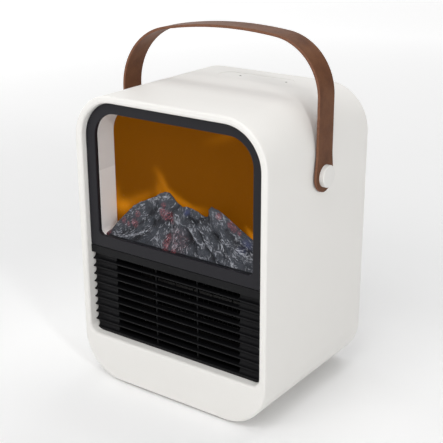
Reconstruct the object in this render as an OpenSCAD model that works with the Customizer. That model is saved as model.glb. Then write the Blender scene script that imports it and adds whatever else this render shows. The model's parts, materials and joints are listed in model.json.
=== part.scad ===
// Portable flame-effect ceramic fan heater with a strap handle.
// Origin at the bottom centre, on the surface that the feet stand on.
// +Z up, front towards -Y, +X to the right of somebody facing the front.

/* [Casing] */
// Width of the casing
body_w = 187; // [180:1:195]
// Depth of the casing, front rim to back rim
body_d = 152; // [150:1:160]
// Height of the casing, without its feet
body_h = 250; // [248:1:256]
// Radius of the four long corners of the casing
corner_r = 38.7; // [36:0.1:42]
// Radius of the front and back edges
edge_r = 2; // [1.5:0.1:2.5]
// Thickness of the moulded wall
wall = 2.5; // [2.2:0.1:3]
// Height that the rubber feet lift the casing
foot_h = 2; // [1.5:0.1:3]
// Width of the front rim around the opening
rim_w = 6.3; // [6:0.1:7]
// Depth of the front rim
rim_d = 11; // [10.8:0.1:11.2]
// Height of the chin below the opening
chin_h = 38.5; // [37:0.1:39]

/* [Front] */
// How far the black frame sits behind the rim's front
bezel_set = 6; // [5.5:0.1:6.5]
// Half the width of the fire window
window_half = 77.3; // [76:0.1:78]
// Lower edge of the window, above the casing's base
window_low = 128.6; // [128:0.1:129]
// Upper edge of the window, above the casing's base
window_high = 234.1; // [233:0.1:235]
// Radius of the window's upper corners
window_r = 22; // [18:0.5:24]
// Radius of the opening's front edge
rim_r = 2.6; // [2:0.1:3]
// Gap between the moulded front pieces
gap = 0.3; // [0.2:0.05:0.4]
// Depth of the firebox from the front to the flame screen
firebox_d = 30.2; // [29:0.1:31]

/* [Grille] */
// Number of ridges
ridges = 10; // [8:1:10]
// Spacing of the ridges
pitch = 7.09; // [6.9:0.01:7.2]
// Thickness of a blade
blade_t = 1.2; // [1:0.1:1.6]
// Half the width of the open slots
slot_half = 63; // [58:0.5:66]
// How far the stiffening ribs stand either side of the middle
rib_x = 21.1; // [18:0.1:24]

/* [Handle] */
// Width of the strap
strap_w = 22; // [20:0.5:24]
// Thickness of the strap
strap_t = 2.2; // [1.8:0.1:2.6]
// Radius of the strap's round ends, in millimetres
strap_end_r = 13; // [11:0.1:14]
// Outer face of the strap's legs from the middle
strap_x = 96.9; // [96.5:0.1:98]
// Height of the pivots above the casing's base
pivot_h = 193.3; // [190:0.1:196]
// Height of the strap's crown above the casing's base
crown_h = 302.2; // [298:0.1:306]
// How far the crown's highest point lies to the right
crown_x = 15.5; // [0:0.5:18]
// Radius of the crown
crown_r = 349; // [330:1:380]
// Radius of the right shoulder
shoulder_right = 45.9; // [42:0.1:50]
// Radius of the left shoulder
shoulder_left = 56.1; // [50:0.1:60]
// Radius of the pivot caps
cap_r = 8.9; // [8:0.1:10]
// How far a cap stands out of the strap
cap_h = 4.3; // [3.8:0.1:4.6]

/* [Top controls] */
// Length of the touch panel
panel_l = 74; // [68:1:80]
// Width of the touch panel
panel_w = 20; // [18:0.5:22]
// Depth of the touch panel's middle from the front
panel_d = 124; // [122:0.5:126]

/* [Heater and fan] */
// Height of the air path's middle above the casing's base
air_h = 74; // [73:0.5:75]
// Radius of the fan
fan_r = 39; // [36:0.5:40]
// Number of fan blades
fan_blades = 7; // [5:1:9]
// Radial running clearance of shafts in their bores
fit = 0.05; // [0.03:0.01:0.08]

/* [Hidden] */
$fn = 96;
eps = 0.01;
front = -body_d / 2;
back = body_d / 2;
base = foot_h;
top = base + body_h;
in_half = body_w / 2 - wall;
open_half = body_w / 2 - rim_w;
open_low = base + chin_h;
open_high = top - rim_w;
open_r = corner_r - rim_w;
open_low_r = 8;
win_low = base + window_low;
win_high = base + window_high;
win_low_r = 4;
bezel_y = front + bezel_set;
bezel_t = 2.5;
bezel_low = base + 118.2;
pane_y = bezel_y + bezel_t;
pane_t = 1.5;
lip_w = 1.4;
flange_y = front + rim_d + 0.1;
flange_t = 1.5;
flange_w = 1.6;
liner_gap = 1;
liner_t = 1.5;
liner_y = bezel_y + 5.2;
screen_y = front + firebox_d;
screen_t = 1.5;
floor_z = base + 126;
bed_z = floor_z + liner_t;
bed_half = 77.5;
ridge_top = base + 104.6;
tip_y = front + 7.5;
grille_back = front + 13;
slot_h = pitch - blade_t;
rib_t = 1.5;
rib_set = 3.2;
slot_r = 1.5;
hollow_r = (pitch - 1) / 2;
pivot_z = base + pivot_h;
crown_z = base + crown_h;
air_z = base + air_h;
duct_w = 130;
duct_h = 76;
duct_t = 1.5;
ptc_y = front + 44;
ptc_d = 16;
ptc_w = 120;
ptc_h = 72;
core_w = 104;
core_h = 58;
core_rows = 4;
stone_h = 3;
stone_l = 19;
stone_pitch = 20;
row_h = (core_h - core_rows * stone_h) / (core_rows + 1);
fin_t = 0.6;
fin_pitch = 5;
tab_l = 9;
tab_pitch = 16;
shroud_y = front + 64;
ring_y = front + 86;
motor_y = front + 92;
motor_l = 30;
motor_r = 23;
motor_boss_r = 7;
shaft_r = 2.5;
fan_hub_r = 11;
fan_twist = 52;
ring_r = fan_r + 1.5;
ring_t = 1.7;
divider_z = base + 116.5;
divider_t = 2;
divider_y = [front + 16, back - 20];
wall_y = front + 74;
wall_t = 2;
spindle_y = front + 53;
spindle_z = base + 150;
spindle_r = 1.5;
paddles = 11;
board_y = wall_y + 6;
board_x = [-50, 50];
board_z = [base + 140, base + 190];
board_t = 1.6;
board_screw_r = 1.35;
cover_y = back - 0.8;
cover_t = 2.5;
boss_reach = 32.2;
boss_r = 4.5;
boss_x = body_w / 2 - corner_r + boss_reach * cos(45);
boss_dz = corner_r - boss_reach * cos(45);
screw_r = 1.45;
screw_head_r = 2.8;
screw_head_h = 1.2;
intake_r = 45;
intake_pitch = 6;
filter_r = 47;
vent_z = base + 176;
vent_pitch = 8;
rear_slot = 1.6;
foot_x = 46;
foot_y = 54;
foot_r = 8;
foot_seat = 0.8;
strap_flare = 16;
tip_y0 = 20;
tip_stem_r = 4;
tip_flange_r = 5.1;
tip_drop = 3;
tip_flange_z = base + wall + tip_drop;
tip_bore_z = tip_flange_z + 16.5;
rocker_x = 52;
rocker_z = base + 22;
rocker_half = [9.4, 6.4];
rocker_depth = 18;
rocker_pin_r = 0.9;
rocker_pin_y = cover_y - 3;
gland_x = -52;
gland_z = base + 22;
gland_r = 3.6;
term_x1 = gland_x + 8;
term_y = 47;
term_z = base + 9;
panel_gap = 0.15;
panel_recess = 1;
panel_y = front + panel_d;
touch_h = 4;
light_x = [-16, 30];
light_r = 1.1;
post_x = 33;
lead_y = back - 14;
pivot_hole_r = 4;
bolt_head_r = 6;
bolt_head_h = 2;
washer_r = 7;
cap_edge = 0.8;
cap_lift = 0.2;

// ---------- helpers ----------

// Extrudes a flat outline, drawn in X and Z, from y0 to y1.
module along_y(y0, y1) {
    translate([0, y1, 0]) rotate([90, 0, 0]) linear_extrude(height = y1 - y0) children();
}

// Extrudes a flat outline, drawn in Y and Z, from x0 to x1.
module along_x(x0, x1) {
    translate([x0, 0, 0]) rotate([90, 0, 90]) linear_extrude(height = x1 - x0) children();
}

// Box between two corners.
module block(low, high) {
    translate(low) cube([high[0] - low[0], high[1] - low[1], high[2] - low[2]]);
}

// Cylinder along Y from y0 to y1.
module rod_y(x, z, r, y0, y1) {
    translate([x, y1, z]) rotate([90, 0, 0]) cylinder(r = r, h = y1 - y0);
}

// Cylinder along X from x0 to x1.
module rod_x(y, z, r, x0, x1) {
    translate([x0, y, z]) rotate([0, 90, 0]) cylinder(r = r, h = x1 - x0);
}

// Outline of the given half width between z0 and z1, with round corners.
module round_rect(half, z0, z1, r_top, r_low) {
    translate([-half, z0 + r_low]) square([2 * half, z1 - z0 - r_top - r_low]);
    translate([-half + r_top, z1 - r_top]) square([2 * (half - r_top), r_top]);
    translate([-half + r_low, z0]) square([2 * (half - r_low), r_low]);
    for (side = [-1, 1]) {
        translate([side * (half - r_top), z1 - r_top]) circle(r_top);
        translate([side * (half - r_low), z0 + r_low]) circle(r_low);
    }
}

// The casing's outline, moved inwards.
module casing_outline(inset) {
    round_rect(body_w / 2 - inset, base + inset, top - inset, corner_r - inset, corner_r - inset);
}

// Stadium outline in X and Y.
module stadium(length, width) {
    square([length - width, width], center = true);
    for (side = [-1, 1])
        translate([side * (length - width) / 2, 0]) circle(width / 2);
}

// Section of the casing's wall and rim: X is the distance from a corner's axis.
module wall_section() {
    outer = corner_r;
    inner = corner_r - rim_w;
    translate([outer - wall, front + edge_r]) square([wall, body_d - 2 * edge_r]);
    translate([inner, front + rim_r]) square([rim_w, rim_d - rim_r]);
    translate([inner + rim_r, front]) square([rim_w - rim_r - edge_r, rim_d]);
    translate([outer - edge_r, front + edge_r]) circle(edge_r);
    translate([inner + rim_r, front + rim_r]) circle(rim_r);
    intersection() {
        translate([outer - edge_r, back - edge_r]) circle(edge_r);
        translate([outer - wall, back - 2 * edge_r]) square([wall, 2 * edge_r]);
    }
    translate([outer - wall, back - edge_r]) square([wall - edge_r, edge_r]);
}

// Sweeps the wall's section around the casing's outline.
module wall_tube() {
    straight_x = body_w / 2 - corner_r;
    straight_z = body_h / 2 - corner_r;
    translate([0, 0, base + body_h / 2]) for (turn = [0, 180]) rotate([0, turn, 0]) {
        translate([straight_x, 0, -straight_z]) linear_extrude(height = 2 * straight_z)
            wall_section();
        translate([straight_x, 0, straight_z]) rotate([0, -90, 0])
            linear_extrude(height = 2 * straight_x) wall_section();
        translate([straight_x, 0, -straight_z]) rotate([-90, 0, 0])
            rotate_extrude(angle = 90) wall_section();
        translate([straight_x, 0, straight_z]) rotate([0, -90, 0]) rotate([-90, 0, 0])
            rotate_extrude(angle = 90) wall_section();
    }
}

// ---------- casing ----------

// Rounded tube with its rim and chin moulded on, open at the back.
module housing() {
    color("#EFEDE9") difference() {
        union() {
            wall_tube();
            // chin, and the ledge along its upper edge
            difference() {
                along_y(front, front + rim_d) intersection() {
                    casing_outline(edge_r);
                    translate([-body_w, 0]) square([2 * body_w, open_low + open_low_r]);
                }
                along_y(front + 3, front + rim_d + 1) translate([-body_w, 0])
                    square([2 * body_w, open_low - 3]);
                along_y(front - 1, front + rim_d + 1)
                    round_rect(open_half, open_low, open_high, open_r, open_low_r);
            }
            for (side = [0, 1]) mirror([side, 0, 0]) {
                // bosses for the rear cover's screws
                for (z = [base + boss_dz, top - boss_dz])
                    rod_y(boss_x, z, boss_r, back - 34, cover_y - cover_t);
                // ledge that carries the middle frame
                block([in_half - 4, divider_y[0], divider_z - 3],
                    [in_half + wall / 2, divider_y[1], divider_z]);
                // boss behind the pivot
                rod_x(0, pivot_z, 9, in_half - 5, in_half + wall / 2);
                // post for the touch board
                translate([post_x, panel_y - 6, top - wall - touch_h])
                    cylinder(r = 2, h = touch_h + wall / 2);
            }
        }
        for (side = [0, 1]) mirror([side, 0, 0]) {
            for (z = [base + boss_dz, top - boss_dz])
                rod_y(boss_x, z, 1.5, back - 30, back);
            rod_x(0, pivot_z, pivot_hole_r, in_half - 6, body_w / 2 + 1);
            // seats for the feet
            for (y = [-foot_y, foot_y])
                translate([foot_x, y, base - 1]) cylinder(r = foot_r + 0.2, h = 1 + foot_seat);
        }
        // recess and light holes of the touch panel
        translate([0, panel_y, top - panel_recess]) linear_extrude(height = 2)
            stadium(panel_l, panel_w);
        for (x = light_x)
            translate([x, panel_y, top - wall - 1]) cylinder(r = light_r, h = wall);
        // hole of the tip-over plunger
        translate([0, tip_y0, base - 1]) cylinder(r = tip_stem_r + 0.3, h = wall + 2);
    }
}

// Four rubber pads set into the base.
module rubber_feet() {
    color("#2B2B2B") for (x = [-foot_x, foot_x], y = [-foot_y, foot_y])
        translate([x, y, 0]) cylinder(r = foot_r, h = base + foot_seat);
}

// ---------- fire window ----------

// Outline of the flanges behind the casing's rim.
module front_flange() {
    round_rect(open_half + flange_w, open_low - flange_w, open_high + flange_w,
        open_r + flange_w, open_low_r + flange_w);
}

// The window's outline, moved outwards.
module window_margin(margin) {
    round_rect(window_half + margin, win_low - margin, win_high + margin, window_r + margin,
        win_low_r + margin);
}

// Outline of the frame: the opening's, down to the grille.
module bezel_outline() {
    intersection() {
        round_rect(open_half - gap, open_low + gap, open_high - gap, open_r - gap, open_low_r);
        translate([-body_w, bezel_low]) square([2 * body_w, body_h]);
    }
}

// Black frame around the window.
module front_bezel() {
    color("#34343A") {
        along_y(bezel_y, bezel_y + bezel_t) difference() {
            bezel_outline();
            window_margin(0);
        }
        // lip that holds the pane
        along_y(bezel_y + bezel_t - eps, bezel_y + 5) difference() {
            window_margin(2 * lip_w);
            window_margin(lip_w);
        }
        // wall that reaches back past the casing's rim
        along_y(bezel_y + bezel_t - eps, flange_y + flange_t) difference() {
            bezel_outline();
            window_margin(2 * lip_w);
        }
        // flange that bears on the back of the casing's rim
        along_y(flange_y, flange_y + flange_t) difference() {
            intersection() {
                front_flange();
                translate([-body_w, bezel_low]) square([2 * body_w, body_h]);
            }
            window_margin(2 * lip_w);
        }
    }
}

// Clear plastic pane behind the frame.
module window_pane() {
    color([0.8, 0.9, 0.95, 0.3]) along_y(pane_y, pane_y + pane_t)
        round_rect(window_half + lip_w - 0.2, win_low - lip_w + 0.2, win_high + lip_w - 0.2,
            window_r + lip_w, win_low_r + lip_w);
}

// The firebox's inner outline, moved outwards.
module liner_outline(offset) {
    margin = liner_gap + offset;
    round_rect(window_half + margin, bed_z - offset, win_high + margin, window_r + margin,
        win_low_r + margin);
}

// Pale box that the fire lies in, open at the front and back.
module firebox_liner() {
    color("#DCDCDA") along_y(liner_y, screen_y) difference() {
        liner_outline(liner_t);
        liner_outline(0);
    }
}

// Smoked amber screen that the flames show on.
module flame_screen() {
    color([0.55, 0.32, 0.05, 0.8]) along_y(screen_y, screen_y + screen_t)
        liner_outline(liner_t);
}

// Rocky ember bed: its skyline, cut to a ridge, with a pocket for the lights.
module ember_bed() {
    color("#55565C") difference() {
        intersection() {
            along_y(liner_y + 0.6, screen_y - 0.6) polygon([
                [-72.8, bed_z], [72.8, bed_z], [bed_half, bed_z + 5], [bed_half, bed_z + 18],
                [62, bed_z + 29],
                [46, bed_z + 38], [32, bed_z + 45], [26, bed_z + 38], [21, bed_z + 34],
                [8, bed_z + 38], [2, bed_z + 38], [-7, bed_z + 41], [-14, bed_z + 49],
                [-20, bed_z + 49], [-34, bed_z + 41], [-50, bed_z + 31],
                [-66, bed_z + 16], [-bed_half, bed_z + 5]]);
            along_x(-78, 78) polygon([
                [liner_y, bed_z - 1], [screen_y, bed_z - 1], [screen_y, bed_z + 34],
                [screen_y - 7, bed_z + 50], [screen_y - 10, bed_z + 50], [liner_y, bed_z + 3]]);
        }
        block([-58, liner_y + 5, bed_z - 1], [58, screen_y - 3, bed_z + 4]);
    }
}

// Strip of red lights under the embers.
module ember_led_board() {
    color("#2F6B3A") {
        block([-56, liner_y + 6, bed_z], [56, screen_y - 4, bed_z + 1.2]);
        for (x = [-48 : 16 : 48])
            translate([x, (liner_y + screen_y) / 2 + 1, bed_z + 1.1])
                cylinder(r = 1.5, h = 2, $fn = 32);
    }
}

// Thin plate with flame-shaped cut-outs behind the screen.
module flame_mask() {
    y = screen_y + screen_t + 1.5;
    z = floor_z + 4;
    color("#1E1E20") difference() {
        block([-78, y, z - 2], [78, y + 0.8, z + 96]);
        for (i = [-3 : 3])
            along_y(y - 1, y + 2) translate([i * 21, z + 14]) polygon([
                [-8, 0], [8, 0], [5, 18], [1, 30 + 12 * cos(i * 70)], [-3, 20], [-6, 24]]);
    }
}

// Light board that shines on the turning paddles.
module flame_led_board() {
    z = divider_z + divider_t;
    color("#2F6B3A") {
        block([-60, spindle_y - 8, z + 4], [60, spindle_y + 8, z + 5.6]);
        for (x = [-50 : 20 : 50]) {
            translate([x, spindle_y, z + 5.5]) cylinder(r = 2, h = 3, $fn = 32);
            translate([x, spindle_y, z]) cylinder(r = 1.5, h = 4.5, $fn = 32);
        }
    }
}

// Shaft with bright paddles that flick light up the screen.
module flame_spindle() {
    color("#C9CBD0") {
        rod_x(spindle_y, spindle_z, spindle_r, -71, 63);
        for (i = [0 : paddles - 1])
            translate([-56 + i * 11, spindle_y, spindle_z]) rotate([i * 40, 0, 0]) {
                cube([8, 20, 0.6], center = true);
                cube([0.8, 6, 6], center = true);
            }
    }
}

// Uprights that hold the spindle's left end and its motor.
module spindle_brackets() {
    z = divider_z + divider_t;
    color("#2E2E30") {
        difference() {
            block([-70, spindle_y - 5, z], [-67, spindle_y + 5, spindle_z + 5]);
            rod_x(spindle_y, spindle_z, spindle_r + fit, -71, -66);
        }
        difference() {
            block([65, spindle_y - 14, z], [67.5, spindle_y + 14, spindle_z + 14]);
            rod_x(spindle_y, spindle_z, 6, 64, 68);
        }
    }
}

// Small geared motor that turns the spindle.
module flame_motor() {
    color("#B9BCC2") difference() {
        union() {
            rod_x(spindle_y, spindle_z, 12, 67.5, 82);
            rod_x(spindle_y, spindle_z, 5.5, 61, 67.6);
        }
        rod_x(spindle_y, spindle_z, spindle_r + fit, 60, 63.4);
    }
}

// ---------- middle frame ----------

// Shelf between the fire and the heater, with an upright wall for the boards.
module mid_frame() {
    color("#3A3A3C") {
        shelf_z = divider_z + divider_t;
        wall_back = wall_y + wall_t;
        block([-in_half + 0.5, divider_y[0], divider_z], [in_half - 0.5, divider_y[1], shelf_z]);
        block([-77, wall_y, shelf_z - eps], [77, wall_back, top - 30]);
        for (x = [-75, 75])
            along_x(x - 1, x + 1) polygon([[wall_back, shelf_z - eps],
                [wall_back + 24, shelf_z - eps], [wall_back, divider_z + 40]]);
        difference() {
            for (x = board_x, z = board_z) rod_y(x, z, 3, wall_back - eps, board_y);
            for (x = board_x, z = board_z) rod_y(x, z, board_screw_r + fit, wall_back, board_y + 1);
        }
    }
}

// Mains board behind the upright wall.
module power_board() {
    color("#2F6B3A") difference() {
        block([-58, board_y, base + 132], [58, board_y + board_t, base + 198]);
        for (x = board_x, z = board_z) rod_y(x, z, 1.7, board_y - 1, board_y + 3);
    }
}

// Screws that hold the mains board on its posts.
module board_screws() {
    color("#B4B6BA") for (x = board_x, z = board_z) {
        rod_y(x, z, board_screw_r, wall_y + wall_t + 0.2, board_y + board_t + 0.1);
        rod_y(x, z, 2.6, board_y + board_t, board_y + board_t + 1.4);
    }
}

// Relays, capacitors and a transformer on the mains board.
module board_parts() {
    y = board_y + board_t;
    color("#26282C") {
        for (x = [-34, -10])
            block([x, y, base + 148], [x + 19, y + 16, base + 164]);
        block([14, y, base + 146], [36, y + 14, base + 170]);
        for (x = [-36, -22])
            rod_y(x, base + 182, 5.5, y, y + 18);
        rod_y(4, base + 184, 4, y, y + 12);
        block([16, y, base + 180], [40, y + 9, base + 190]);
    }
}

// ---------- air path ----------

// Outline of the grille's ridged face in Y and Z.
module grille_profile() {
    low = open_low + gap;
    difference() {
        union() {
            translate([tip_y, low]) square([grille_back - tip_y, bezel_low - gap - low]);
            translate([bezel_y, ridge_top + pitch]) square([grille_back - bezel_y,
                bezel_low - gap - ridge_top - pitch]);
        }
        for (i = [0 : ridges - 1])
            translate([tip_y, ridge_top + pitch / 2 - i * pitch]) circle(hollow_r);
    }
}

// Black outlet grille: scalloped face, open slots in the middle.
module outlet_grille() {
    color("#26262A") {
        difference() {
            intersection() {
                along_x(-open_half + gap, open_half - gap) grille_profile();
                along_y(front, grille_back + 1)
                    round_rect(open_half - gap, open_low + gap, open_high, open_r, open_low_r - gap);
            }
            for (i = [0 : ridges - 1])
                translate([0, 0, ridge_top + pitch / 2 - i * pitch])
                    along_y(front, grille_back + 1)
                        round_rect(slot_half, -slot_h / 2, slot_h / 2, slot_r, slot_r);
        }
        for (x = [-rib_x, rib_x])
            block([x - rib_t / 2, tip_y + rib_set, ridge_top - (ridges - 1) * pitch],
                [x + rib_t / 2, grille_back, ridge_top + pitch]);
        // flange that bears on the back of the casing's rim and chin
        along_y(flange_y, flange_y + flange_t) difference() {
            intersection() {
                front_flange();
                translate([-body_w, 0]) square([2 * body_w, bezel_low - gap]);
            }
            round_rect(open_half - 1, open_low + 1, bezel_low - gap - 1, 1, open_low_r - 1);
        }
    }
}

// Sheet-metal duct from the heater to the grille.
module outlet_duct() {
    color("#2A2A2C") along_y(grille_back + 0.3, ptc_y - 0.3) difference() {
        translate([0, air_z]) square([duct_w + 2 * duct_t, duct_h + 2 * duct_t], center = true);
        translate([0, air_z]) square([duct_w, duct_h], center = true);
    }
}

// Moulded frame that clamps the heater core.
module ptc_frame() {
    color("#4A4644") difference() {
        union() {
            translate([0, ptc_y + ptc_d / 2, air_z]) cube([ptc_w, ptc_d, ptc_h], center = true);
            block([-duct_w / 2, ptc_y, air_z - duct_h / 2], [duct_w / 2, ptc_y + 2,
                air_z + duct_h / 2]);
        }
        translate([0, ptc_y + ptc_d / 2, air_z]) cube([core_w, ptc_d + 2, core_h], center = true);
    }
}

// Aluminium fins between the stones.
module ptc_fins() {
    color("#2A2A2C") for (row = [0 : core_rows]) {
        z = air_z - core_h / 2 + row * (row_h + stone_h);
        for (x = [-core_w / 2 + 3 : fin_pitch : core_w / 2 - 3])
            block([x - fin_t / 2, ptc_y + 2, z + 0.4],
                [x + fin_t / 2, ptc_y + ptc_d - 2, z + row_h - 0.4]);
        for (edge = [z, z + row_h - 0.5])
            block([-core_w / 2 + 1, ptc_y + 2, edge], [core_w / 2 - 1, ptc_y + ptc_d - 2, edge + 0.5]);
    }
}

// Rows of ceramic stones that make the heat.
module ptc_stones() {
    color("#4A4846") for (row = [0 : core_rows - 1], i = [-2 : 2]) {
        z = air_z - core_h / 2 + (row + 1) * row_h + row * stone_h;
        block([i * stone_pitch - stone_l / 2, ptc_y + 3, z + fit],
            [i * stone_pitch + stone_l / 2, ptc_y + ptc_d - 3, z + stone_h - fit]);
    }
}

// Brass tabs on the heater's side.
module ptc_terminals() {
    color("#C9A24A") for (z = [air_z - tab_pitch, air_z, air_z + tab_pitch])
        block([ptc_w / 2, ptc_y + 6, z - 3.2], [ptc_w / 2 + tab_l, ptc_y + 6.8, z + 3.2]);
}

// Bimetal safety cut-out on the duct's side, with its two tabs.
module thermal_cutout() {
    x = duct_w / 2 + duct_t;
    color("#D8C9A8") {
        rod_x(front + 30, air_z + 10, 8, x, x + 6);
        for (y = [front + 26, front + 34])
            block([x + 5.9, y - 2, air_z + 8], [x + 13, y + 2, air_z + 8.8]);
    }
}

// Plate and ring around the fan.
module fan_shroud() {
    color("#2E2E30") {
        difference() {
            union() {
                block([-ptc_w / 2, shroud_y, air_z - 44], [ptc_w / 2, shroud_y + 2, air_z + 41]);
                rod_y(0, air_z, ring_r + ring_t, shroud_y, ring_y);
            }
            rod_y(0, air_z, ring_r, shroud_y - 1, ring_y + 1);
        }
        difference() {
            block([-ptc_w / 2, ptc_y + ptc_d, air_z - ptc_h / 2],
                [ptc_w / 2, shroud_y + eps, air_z + ptc_h / 2]);
            block([-ptc_w / 2 + 2, ptc_y, air_z - ptc_h / 2 + 2],
                [ptc_w / 2 - 2, shroud_y + 1, air_z + ptc_h / 2 - 2]);
        }
        // feet that stand on the casing's floor
        for (side = [-1, 1])
            block([side * 45 - 6, shroud_y, base + wall], [side * 45 + 6, shroud_y + 12,
                air_z - 41]);
    }
}

// Fan with flat pitched blades on a round hub.
module fan_impeller() {
    y0 = shroud_y + 4;
    y1 = ring_y - 3;
    color("#1F1F22") difference() {
        union() {
            rod_y(0, air_z, fan_hub_r, y0, y1);
            intersection() {
                rod_y(0, air_z, fan_r, y0, y1);
                for (i = [0 : fan_blades - 1])
                    translate([0, (y0 + y1) / 2, air_z]) rotate([0, i * 360 / fan_blades, 0])
                        rotate([0, 0, fan_twist]) translate([-0.7, -14, 0])
                            cube([1.4, 28, fan_r + 5]);
            }
        }
        rod_y(0, air_z, shaft_r, y0 - 1, y1 + 1);
    }
}

// Steel shaft through the fan and the motor.
module motor_shaft() {
    color("#BFC2C6") rod_y(0, air_z, shaft_r, shroud_y + 2, motor_y + motor_l + 4);
}

// Fan motor with a bearing boss at each end.
module fan_motor() {
    color("#9A9DA2") difference() {
        union() {
            rod_y(0, air_z, motor_r, motor_y, motor_y + motor_l);
            rod_y(0, air_z, motor_boss_r, motor_y - 4, motor_y + motor_l + 3);
        }
        rod_y(0, air_z, shaft_r + fit, motor_y - 5, motor_y + motor_l + 5);
    }
}

// Cross arms that tie the motor to the shroud's ring.
module motor_bracket() {
    arm_l = 2 * (fan_r + 3);
    color("#3A3A3C") along_y(ring_y + eps, motor_y) difference() {
        translate([0, air_z]) {
            circle(16);
            for (angle = [45, 135]) rotate(angle) square([arm_l, 8], center = true);
        }
        translate([0, air_z]) circle(motor_boss_r + gap);
    }
}

// Insulated lead along a list of points, with a slightly fuller ball at each bend.
module lead(points, r) {
    for (i = [0 : len(points) - 2]) {
        step = points[i + 1] - points[i];
        translate(points[i]) rotate([0, acos(step[2] / norm(step)), atan2(step[1], step[0])])
            cylinder(r = r, h = norm(step), $fn = 24);
        if (i > 0) translate(points[i]) sphere(r * 1.1, $fn = 24);
    }
}

// Leads from the mains board to the heater's tabs.
module heater_leads() {
    tab_x = ptc_w / 2 + tab_l;
    tab_y = ptc_y + 6.4;
    color("#B5483A") for (i = [0 : 2]) {
        tab_z = air_z + (i - 1) * tab_pitch;
        x = tab_x + 5 + i * 4;
        up_z = base + 150 + i * 6;
        lead([[tab_x, tab_y, tab_z], [x, tab_y, tab_z], [x, lead_y, tab_z], [x, lead_y, up_z],
            [53, lead_y, up_z], [53, board_y + board_t, up_z]], 1.3);
    }
}

// Leads from the mains board to the fan motor.
module motor_leads() {
    color("#3D63A8") for (x = [-10, -6])
        lead([[x, motor_y + motor_l, air_z + 16], [x, lead_y - 4, air_z + 16],
            [x, lead_y - 4, base + 140], [x, board_y + board_t, base + 140]], 0.9);
}

// Leads from the terminal block and the mains switch to the mains board.
module mains_leads() {
    term_lead_x = gland_x + 12;
    color("#6A4A2C") {
        lead([[term_x1, term_y, term_z], [term_lead_x, term_y, term_z],
            [term_lead_x, lead_y, term_z], [term_lead_x, lead_y, base + 152],
            [term_lead_x, board_y + board_t, base + 152]], 1.4);
        lead([[rocker_x, cover_y - rocker_depth, rocker_z], [rocker_x, lead_y - 12, rocker_z],
            [66, lead_y - 12, rocker_z], [66, lead_y + 4, rocker_z], [66, lead_y + 4, base + 170],
            [48, lead_y + 4, base + 170], [48, board_y + board_t, base + 170]], 1.4);
    }
}

// Terminal block that the supply lead would be clamped in.
module terminal_block() {
    color("#E4E0D6") difference() {
        block([gland_x - 8, term_y - 7, term_z - 6], [term_x1, term_y + 7, term_z + 5]);
        for (x = [gland_x - 5, gland_x, gland_x + 5]) {
            rod_y(x, term_z, 1.5, term_y - 8, term_y + 8);
            translate([x, term_y, term_z]) cylinder(r = 1.7, h = 6);
        }
    }
}

// ---------- rear ----------

// Rear panel with an intake grille, a switch opening and a cable hole.
module rear_cover() {
    color("#E9E7E3") difference() {
        union() {
            along_y(cover_y - cover_t, cover_y) casing_outline(wall + gap);
            rod_y(0, air_z, 50, cover_y - cover_t - 5, cover_y - cover_t + eps);
        }
        rod_y(0, air_z, filter_r + 0.5, cover_y - cover_t - 6, cover_y - cover_t);
        // intake slots, cut to a round field
        intersection() {
            rod_y(0, air_z, intake_r, cover_y - 5, cover_y + 1);
            for (i = [-7 : 7]) {
                z = air_z + i * intake_pitch;
                block([-intake_r - 1, cover_y - 6, z - rear_slot],
                    [intake_r + 1, cover_y + 2, z + rear_slot]);
            }
        }
        // vents behind the boards
        for (i = [0 : 4])
            along_y(cover_y - 4, cover_y + 1) translate([0, vent_z + i * vent_pitch])
                round_rect(30, -rear_slot, rear_slot, slot_r, slot_r);
        for (x = [-boss_x, boss_x], z = [base + boss_dz, top - boss_dz]) {
            rod_y(x, z, 1.9, cover_y - 4, cover_y + 1);
            rod_y(x, z, screw_head_r + 0.3, cover_y - screw_head_h, cover_y + 1);
        }
        block([rocker_x - rocker_half[0] - 0.2, cover_y - 4, rocker_z - rocker_half[1] - 0.2],
            [rocker_x + rocker_half[0] + 0.2, cover_y + 1, rocker_z + rocker_half[1] + 0.2]);
        rod_y(gland_x, gland_z, 7.1, cover_y - 4, cover_y + 1);
    }
}

// Mesh pad that keeps dust out of the fan.
module intake_filter() {
    color("#4B4D50") rod_y(0, air_z, filter_r, cover_y - cover_t - 3, cover_y - cover_t - fit);
}

// Four screws of the rear panel.
module rear_screws() {
    color("#B4B6BA") for (x = [-boss_x, boss_x], z = [base + boss_dz, top - boss_dz])
        difference() {
            union() {
                rod_y(x, z, screw_head_r, cover_y - screw_head_h, cover_y + 0.2);
                rod_y(x, z, screw_r, cover_y - 16, cover_y - screw_head_h + 0.1);
            }
            for (turn = [0, 90])
                translate([x, cover_y, z]) rotate([0, turn, 0]) cube([3.4, 1, 0.8], center = true);
        }
}

// Fixed part of the mains switch.
module rocker_housing() {
    color("#1C1C1E") difference() {
        union() {
            block([rocker_x - 11, cover_y, rocker_z - 8], [rocker_x + 11, cover_y + 0.8, rocker_z + 8]);
            block([rocker_x - rocker_half[0], cover_y - rocker_depth, rocker_z - rocker_half[1]],
                [rocker_x + rocker_half[0], cover_y + eps, rocker_z + rocker_half[1]]);
        }
        block([rocker_x - 7.5, cover_y - 7, rocker_z - 5], [rocker_x + 7.5, cover_y + 2, rocker_z + 5]);
    }
    // pin that the rocker turns on
    color("#1C1C1E") translate([rocker_x, rocker_pin_y, rocker_z - 5.1])
        cylinder(r = rocker_pin_r, h = 10.2, $fn = 48);
}

// Rocker that tips about an upright axis, resting with its left side in.
module rocker_button() {
    color("#B3261E") translate([rocker_x, rocker_pin_y, rocker_z]) rotate([0, 0, -7])
        linear_extrude(height = 9.2, center = true) difference() {
            union() {
                circle(2.6);
                polygon([[-7, -1.5], [7, -1.5], [7, 2.6], [0, 1.4], [-7, 2.6]]);
            }
            circle(rocker_pin_r + fit, $fn = 48);
        }
}

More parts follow.
